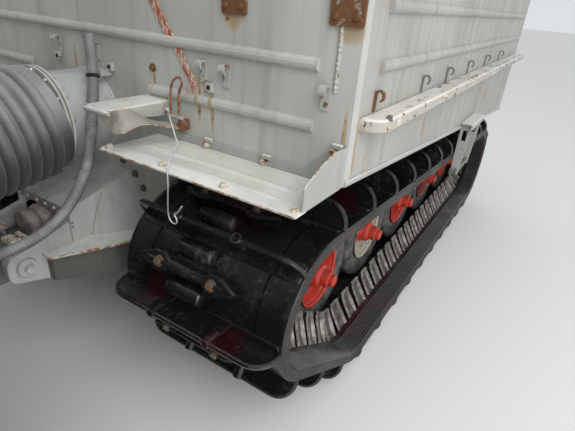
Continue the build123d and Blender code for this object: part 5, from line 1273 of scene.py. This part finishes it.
def seal(origin, along, up, width, height, bend=0.035):
    """A bead round a rectangle that starts at a point and runs along two directions."""
    along, up = unit(along), unit(up)
    flat = oblong((0, width), (0, height), bend, 6)
    path = np.array(origin) + flat[:, :1] * along + flat[:, 1:] * up
    normal = np.cross(along, up)
    step = unit(np.roll(path, -1, 0) - np.roll(path, 1, 0))
    return carried(path, np.cross(normal, step), normal, np.array(SEAL_SECTION), along=True)


def small_lamp(place, way, housing, glass):
    """A turned housing with a domed glass, in two finishes."""
    parts = put(turned(TURN_LAMP[:3], 24, (True, False)), look=housing)
    return put(parts + put(turned(TURN_LAMP[2:], 24, (False, True)), look=glass), place, way)


def lamp_glass(name, colour, alpha):
    """Moulded glass with upright ribs."""
    finish = Finish(name, Alpha=alpha, Roughness=0.08, Coat_Weight=0.4)
    ribs = finish.node("TexWave", {"bands_direction": "Y"}, {"Vector": finish.place, "Scale": 38.0}, 1)
    base = finish.mix(finish.patches(0.4, 0.75, 0.03, 4.0) * 0.4, colour, (0.35, 0.30, 0.24))
    return finish.give(base, None, ribs, 0.0012)


rubber_look = two_tone("black_rubber", (0.05, 5.0), ((0.014, 0.014, 0.014), (0.07, 0.066, 0.06)), (0.4, 0.75),
                       (0.3, 0.45), (0.005,), 0.0004)
glass_look = two_tone("pane_glass", (0.25, 5.0), ((0.07, 0.09, 0.085), (0.30, 0.31, 0.29)), (0.35, 0.75),
                      (0.25, 0.04), Alpha=0.34, Specular_IOR_Level=0.7)
amber_look = lamp_glass("amber_glass", (0.75, 0.20, 0.02), 0.92)
red_glass = lamp_glass("red_glass", (0.45, 0.012, 0.01), 0.94)
dress("windscreens door_glass_left door_glass_right", glass_look)
slant = (-RAKE, 0, ROOF_Z - WAIST_Z)
slant_height = (PANE_Z[1] - PANE_Z[0]) * np.linalg.norm(slant) / slant[2]
trim = [seal((nose_x(PANE_Z[0]) - 0.001, PANE_Y[0], PANE_Z[0]), (0, 1, 0), slant, PANE_Y[1] - PANE_Y[0], slant_height)]
foot, tip = (np.array([nose_x(z) + 0.018, y, z]) for y, z in (WIPER_FOOT, WIPER_TIP))
trim += put(wire([foot, (foot[0] + 0.008, *(foot + tip)[1:] / 2), tip], 0.005), look=1)
hub = dome((0.016, 0), (0.016, 0.014), (0.010, 0.018), 0.018)
trim += put(hub, (nose_x(WIPER_FOOT[1]), *WIPER_FOOT), AHEAD, 1)
blade = np.array([(nose_x(WIPER_TIP[1]) + 0.012, y, WIPER_TIP[1]) for y in np.linspace(*BLADE_END, 9)])
trim += [ribbon(blade, slant, 0.007, 0.014), *small_lamp((NOSE_X, TURN_LAMP_Y, LAMP_Z), AHEAD, 1, 2)]
piece("nose_trim", both(trim), [rubber_look, joint_paint, amber_look], "front_car", "black_trim")
lamp = [part for profile, look, close in ((LAMP_SHELL, 0, (True, False)), (LAMP_RING, 1, OPEN),
                                          (LAMP_BOWL, 1, (False, True)), (LAMP_LENS, 2, (False, True)))
        for part in put(turned(profile, 48, close), (NOSE_X, LAMP_Y, LAMP_Z), AHEAD, look)]
piece("headlamp_rings", both(lamp), [joint_paint, chrome_look, lamp_glass("lamp_lens", (0.75, 0.77, 0.75), 0.5)],
      "front_car", "lamp_glass", "headlamps")


# Doors and hatches. Each door has a seal round its window and a bar handle, and each engine hatch has
# seven pressed hoods over its slots and two turn handles. All of it rides on the door or the hatch.
DOOR_BACK, WINDOW_X, WINDOW_Z = 1.800, (1.890, 2.470), (1.360, 2.010)
HANDLE_X, HANDLE_Z, HANDLE_OUT, LOCK_X = (0.045, 0.168), 1.215, 0.034, 0.105
LOUVRE_X, LOUVRE_LOW, LOUVRE_PITCH, LOUVRES = (0.645, 1.275), 1.190, 0.070, 7
HOOD_SECTION = ((0.000, 0.030), (0.008, 0.026), (0.014, 0.017), (0.016, 0.006), (0.014, 0.006), (0.012, 0.016),
                (0.007, 0.023), (0.000, 0.026))
TURN_HANDLES_X, TURN_HANDLE_Z = (0.700, 1.220), 1.130
GUTTER = ((0.317, 2.730), (0.879, 0.892), (2.166, 2.182))

door = [seal((WINDOW_X[1], BODY_HALF - 0.001, WINDOW_Z[0]), (-1, 0, 0), (0, 0, 1), WINDOW_X[1] - WINDOW_X[0],
             WINDOW_Z[1] - WINDOW_Z[0])]
grip = [(DOOR_BACK + u, BODY_HALF + out, HANDLE_Z) for u, out in
        ((HANDLE_X[0], 0.0), (HANDLE_X[0], 0.024), (0.052, HANDLE_OUT), (0.160, HANDLE_OUT), (HANDLE_X[1], 0.024),
         (HANDLE_X[1], 0.0))]
door += put(wire(even(grip, 0.006)[0], 0.0065), look=1)
for u in HANDLE_X:
    door += put(dome((0.016, 0), (0.016, 0.003), 0.004), (DOOR_BACK + u, BODY_HALF, HANDLE_Z), OUTWARD, 1)
door += put(dome((0.012, 0), (0.012, 0.006), (0.009, 0.008), 0.008),
            (DOOR_BACK + LOCK_X, BODY_HALF, HANDLE_Z - 0.055), OUTWARD, 1)
hatch = []
x = np.array([LOUVRE_X[0], LOUVRE_X[0] + 0.012, LOUVRE_X[1] - 0.012, LOUVRE_X[1]])[:, None]
size = np.array([0.25, 1.0, 1.0, 0.25])[:, None]
out, up = np.array(HOOD_SECTION).T
for z in LOUVRE_LOW + np.arange(LOUVRES) * LOUVRE_PITCH:
    rows = np.stack([x + 0 * out, BODY_HALF - 0.0005 + out * size, z + 0.002 + up + 0 * size], -1)
    hatch += put(strip(rows[::-1]), look=2)
for x in TURN_HANDLES_X:
    hatch += put(dome((0.014, 0), (0.014, 0.010), 0.010), (x, BODY_HALF, TURN_HANDLE_Z), OUTWARD, 1)
    hatch += put(bar((x - 0.045, x + 0.012), (BODY_HALF + 0.009, BODY_HALF + 0.018),
                     (TURN_HANDLE_Z - 0.007, TURN_HANDLE_Z + 0.007), 0.003), look=1)
for number, name in enumerate(("left", "right")):
    trim, hoods = (both(parts)[number * len(parts):][:len(parts)] for parts in (door, hatch))
    piece(f"cab_door_{name}_trim", trim, [rubber_look, zinc_look], f"cab_door_{name}", "black_trim")
    piece(f"engine_hatch_{name}_hoods", hoods, [rubber_look, zinc_look, front_paint], f"engine_hatch_{name}",
          "body_paint")
piece("roof_gutters", both([bar(*GUTTER, 0.003)]), [front_paint], "front_car", "body_paint")


# Cab. Seats of black vinyl with seams on plain boxes, a dash with round dials, and a thin steering wheel.
SEAT_Y, SEAT_HALF, SEAT_X, SEAT_Z = 0.420, 0.229, (1.751, 2.199), (1.061, 1.179)
REST_X, REST_Z, SEAT_SEAMS = (1.641, 1.749), (1.061, 1.699), (-0.33, 0.33)
PAD_POINTS, BOX_X, BOX_Y = 25, (1.752, 2.148), (0.341, 0.430)
DASH_Y = 0.838
DASH_OUTLINE = ((2.804, 1.091), (2.804, 1.299), (2.640, 1.299), (2.548, 1.245), (2.548, 1.205), (2.600, 1.091))
DIALS = ((0.30, 0.040), (0.42, 0.040), (0.54, 0.040), (0.20, 0.024), (0.62, 0.024), (-0.30, 0.030))
DIAL_X, DIAL_Z, DIAL_WAY = 2.592, 1.2720, ((0, 1, 0), (-1, 0, 0.55))
WHEEL_AT, WHEEL_WAY = (2.405, 0.420, 1.280), ((0, 1, 0), (-0.6, 0.0, 0.8))
WHEEL_RIM, WHEEL_GRIP = 0.190, 0.0125


def joined(parts):
    """One closed surface from grids that share their rims: points at the same place become one."""
    points = np.vstack([part[0] for part in parts])
    starts = np.cumsum([0] + [len(part[0]) for part in parts[:-1]])
    _, first, place = np.unique(points.round(6), axis=0, return_index=True, return_inverse=True)
    place = place.ravel()
    return points[first], [[int(place[corner + start]) for corner in face]
                           for part, start in zip(parts, starts) for face in part[1]]


def cushion(low, high, flat_axis):
    """A closed pillow from a box. Each point (u, v, w) of a cube's surface moves so: the two wide faces
    bulge by a product of cosines, the wide sides bow in a little, and seams dip the wide face."""
    first, second = (axis for axis in range(3) if axis != flat_axis)
    low, high = np.array(low), np.array(high)
    a, b = np.meshgrid(*[np.linspace(-1, 1, PAD_POINTS)] * 2, indexing="ij")
    parts = []
    for axis in range(3):
        for sign in (-1, 1):
            cube = np.zeros((PAD_POINTS, PAD_POINTS, 3))
            cube[..., axis], cube[..., (axis + 1) % 3], cube[..., (axis + 2) % 3] = sign, a, b
            cube = cube[::sign]
            point = cube / (np.abs(cube) ** 7).sum(-1, keepdims=True) ** (1 / 7)
            u, v, w = (point[..., axis] for axis in (first, second, flat_axis))
            crown = 0.74 + 0.26 * (np.cos(u * math.pi / 2) * np.cos(v * math.pi / 2)).clip(0) ** 0.7
            dip = sum(np.exp(-((u - seam) / 0.035) ** 2) for seam in SEAT_SEAMS) * 0.07 * (1 - np.abs(v) ** 8)
            shaped = np.zeros_like(point)
            shaped[..., first], shaped[..., second] = u * (1 - 0.03 * (1 - v ** 2)), v * (1 - 0.03 * (1 - u ** 2))
            shaped[..., flat_axis] = w * (crown - dip)
            parts.append(strip((low + high) / 2 + shaped * (high - low) / 2, around=False, caps=OPEN))
    return joined(parts)


def vinyl():
    """Black vinyl with a fine grain, worn grey in patches."""
    finish = Finish("seat_vinyl", Coat_Weight=0.1)
    wear = finish.patches(0.48, 0.72, 0.09, 6.0)
    grain = finish.cloud(0.0025, 3.0) + finish.cloud(0.05, 3.0) * 2.0
    return finish.give(finish.mix(wear, (0.022, 0.022, 0.021), (0.075, 0.072, 0.066)), wear * 0.2 + 0.38, grain, 0.0008)


seat_look = vinyl()
for side, y in (("left", SEAT_Y), ("right", -SEAT_Y)):
    for kind, x, z, flat_axis in (("cushion", SEAT_X, SEAT_Z, 2), ("back", REST_X, REST_Z, 0)):
        pad = cushion((x[0], y - SEAT_HALF, z[0]), (x[1], y + SEAT_HALF, z[1]), flat_axis)
        pad = piece(f"seat_{kind}_{side}", [pad], [seat_look], "front_car", "seat_vinyl")
seat_box = [(x, sill(x, CARS["front"])) for x in BOX_X] + [(x, SEAT_Z[0]) for x in BOX_X[::-1]]
piece("seat_boxes", both([standing(seat_box, *BOX_Y, 0.003)]), [joint_paint], "front_car", "seat_vinyl", "seats")

controls = [standing(DASH_OUTLINE, -DASH_Y, DASH_Y, 0.008)]
for y, radius in DIALS:
    bezel = turned([(radius, -0.004), (radius, 0.006), (radius - 0.004, 0.008), (radius - 0.006, 0.003)], 28, OPEN)
    dial = put(bezel, look=1) + put(dome((radius - 0.005, 0), (radius - 0.005, 0.003), 0.003, count=28), look=2)
    controls += put(dial, (DIAL_X, y, DIAL_Z), DIAL_WAY)
out = np.c_[spread(48), np.zeros(48)]
wheel_parts = [carried(out * WHEEL_RIM, out, (0, 0, 1), spread(12) * WHEEL_GRIP, along=True),
               dome((0.038, -0.012), (0.040, 0.0), (0.034, 0.010), 0.013, count=28),
               turned([(0.018, -0.258), (0.018, -0.012)], 20)]
wheel_parts += [wire([way * 0.03, way * (WHEEL_RIM - 0.006)], 0.0075) for way in np.c_[spread(4), np.zeros(4)]]
controls += put(wheel_parts, WHEEL_AT, WHEEL_WAY)
piece("dash_and_wheel", controls, [rubber_look, zinc_look, black_and_hole_shade_look], "front_car", "black_trim", "cab_controls")


# Load space. Five bows of square tube for the tilt, and a slatted bench along each side on a sheet web.
BOW_Y, BOW_TOP, BOW_BEND, BOW_FOOT = 0.835, 2.195, 0.245, 1.150
BOW_HALF, BOWS = 0.015, 5
BENCH_Y, BENCH_TOP, SLATS, SLAT_GAP, SLAT_T = (0.460, 0.848), 1.120, 4, 0.012, 0.022
BENCH_WEB_Y, BEARERS, BEARER_LOW = (0.500, 0.530), 5, 0.040


def varnished_wood():
    """Straight grain along the slats, darker where the varnish has gone."""
    finish = Finish("bench_wood", Coat_Weight=0.2)
    grain, worn = finish.cloud(0.012, 6.0, (0.03, 1.0, 1.0), 0.65), finish.patches(0.52, 0.70, 0.15, 5.0)
    base = finish.mix(finish.rise(grain, 0.35, 0.65), (0.20, 0.125, 0.065), (0.47, 0.34, 0.20))
    return finish.give(finish.mix(worn * 0.6, base, (0.20, 0.18, 0.15)), worn * 0.3 + 0.4, grain, 0.0006)


low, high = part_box("tilt_hoops")
flat = rounded([(BOW_Y, BOW_FOOT), (BOW_Y, BOW_TOP), (-BOW_Y, BOW_TOP), (-BOW_Y, BOW_FOOT)], [0, BOW_BEND, BOW_BEND, 0], 12)
square = oblong((-BOW_HALF, BOW_HALF), (-BOW_HALF, BOW_HALF), 0.004, 3)
bows = []
for x in np.linspace(low.x + BOW_HALF, high.x - BOW_HALF, BOWS):
    path = np.c_[np.full(len(flat), x), flat]
    bows.append(carried(path, (1, 0, 0), np.cross(unit(np.gradient(path, axis=0)), (1, 0, 0)), square))
piece("tilt_bows", bows, [side_paint], "rear_car", "body_paint", "tilt_hoops")

low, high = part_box("benches")
slat_w = (BENCH_Y[1] - BENCH_Y[0] + SLAT_GAP) / SLATS - SLAT_GAP
slats_y = BENCH_Y[0] + np.arange(SLATS) * (slat_w + SLAT_GAP)
bench = put([bar((low.x, high.x), (y, y + slat_w), (BENCH_TOP - SLAT_T, BENCH_TOP), 0.004) for y in slats_y], look=1)
for x in np.linspace(low.x + 0.05, high.x - 0.09, BEARERS):
    bench.append(bar((x, x + 0.040), BENCH_Y, (BENCH_TOP - BEARER_LOW, BENCH_TOP - SLAT_T)))
    for y in slats_y:
        bench += put(dome((0.008, 0), (0.006, 0.002), 0.003, count=14), (x + 0.020, y + slat_w / 2, BENCH_TOP), look=2)
web = [(x, sill(x, CARS["rear"])) for x in (low.x, high.x)] + [(x, BENCH_TOP - BEARER_LOW) for x in (high.x, low.x)]
bench.append(standing(web, *BENCH_WEB_Y, 0.003))
piece("bench_slats", both(bench), [side_paint, varnished_wood(), zinc_look], "rear_car", "bench_wood", "benches")


# Back wall. A bar handle and two stays on the door, and a row of lamps on each side of it.
BACK_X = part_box("rear_side_left")[0].x
LAMP_ROW, LAMP_PLATE, TAIL_LAMP_Z = ((0.640, 1), (0.720, 2), (0.800, 1)), (0.590, 0.850), 0.860
DOOR_HANDLE_Y, DOOR_HANDLE_Z, DOOR_RIBS_Z = -0.285, (1.040, 1.180), (0.900, 1.060, 1.220, 1.380)

lamps = [bar((BACK_X - 0.006, BACK_X), LAMP_PLATE, (TAIL_LAMP_Z - 0.045, TAIL_LAMP_Z + 0.045))]
for y, glass in LAMP_ROW:
    lamps += small_lamp((BACK_X, y, TAIL_LAMP_Z), BEHIND, 0, glass)
piece("tail_lamps", both(lamps), [joint_paint, red_glass, amber_look], "rear_car", "lamp_glass")
low, high = DOOR_HANDLE_Z
grip = [(BACK_X - out, DOOR_HANDLE_Y, z) for out, z in
        ((0.0, low), (0.024, low), (0.030, low + 0.008), (0.030, high - 0.008), (0.024, high), (0.0, high))]
door = put(wire(even(grip, 0.006)[0], 0.007), look=1)
door += [wire([(BACK_X + 0.004, y, z) for y in (-0.30, 0.30)], 0.012, 16) for z in DOOR_RIBS_Z]
piece("rear_door_trim", door, [side_paint, zinc_look], "rear_door", "body_paint")
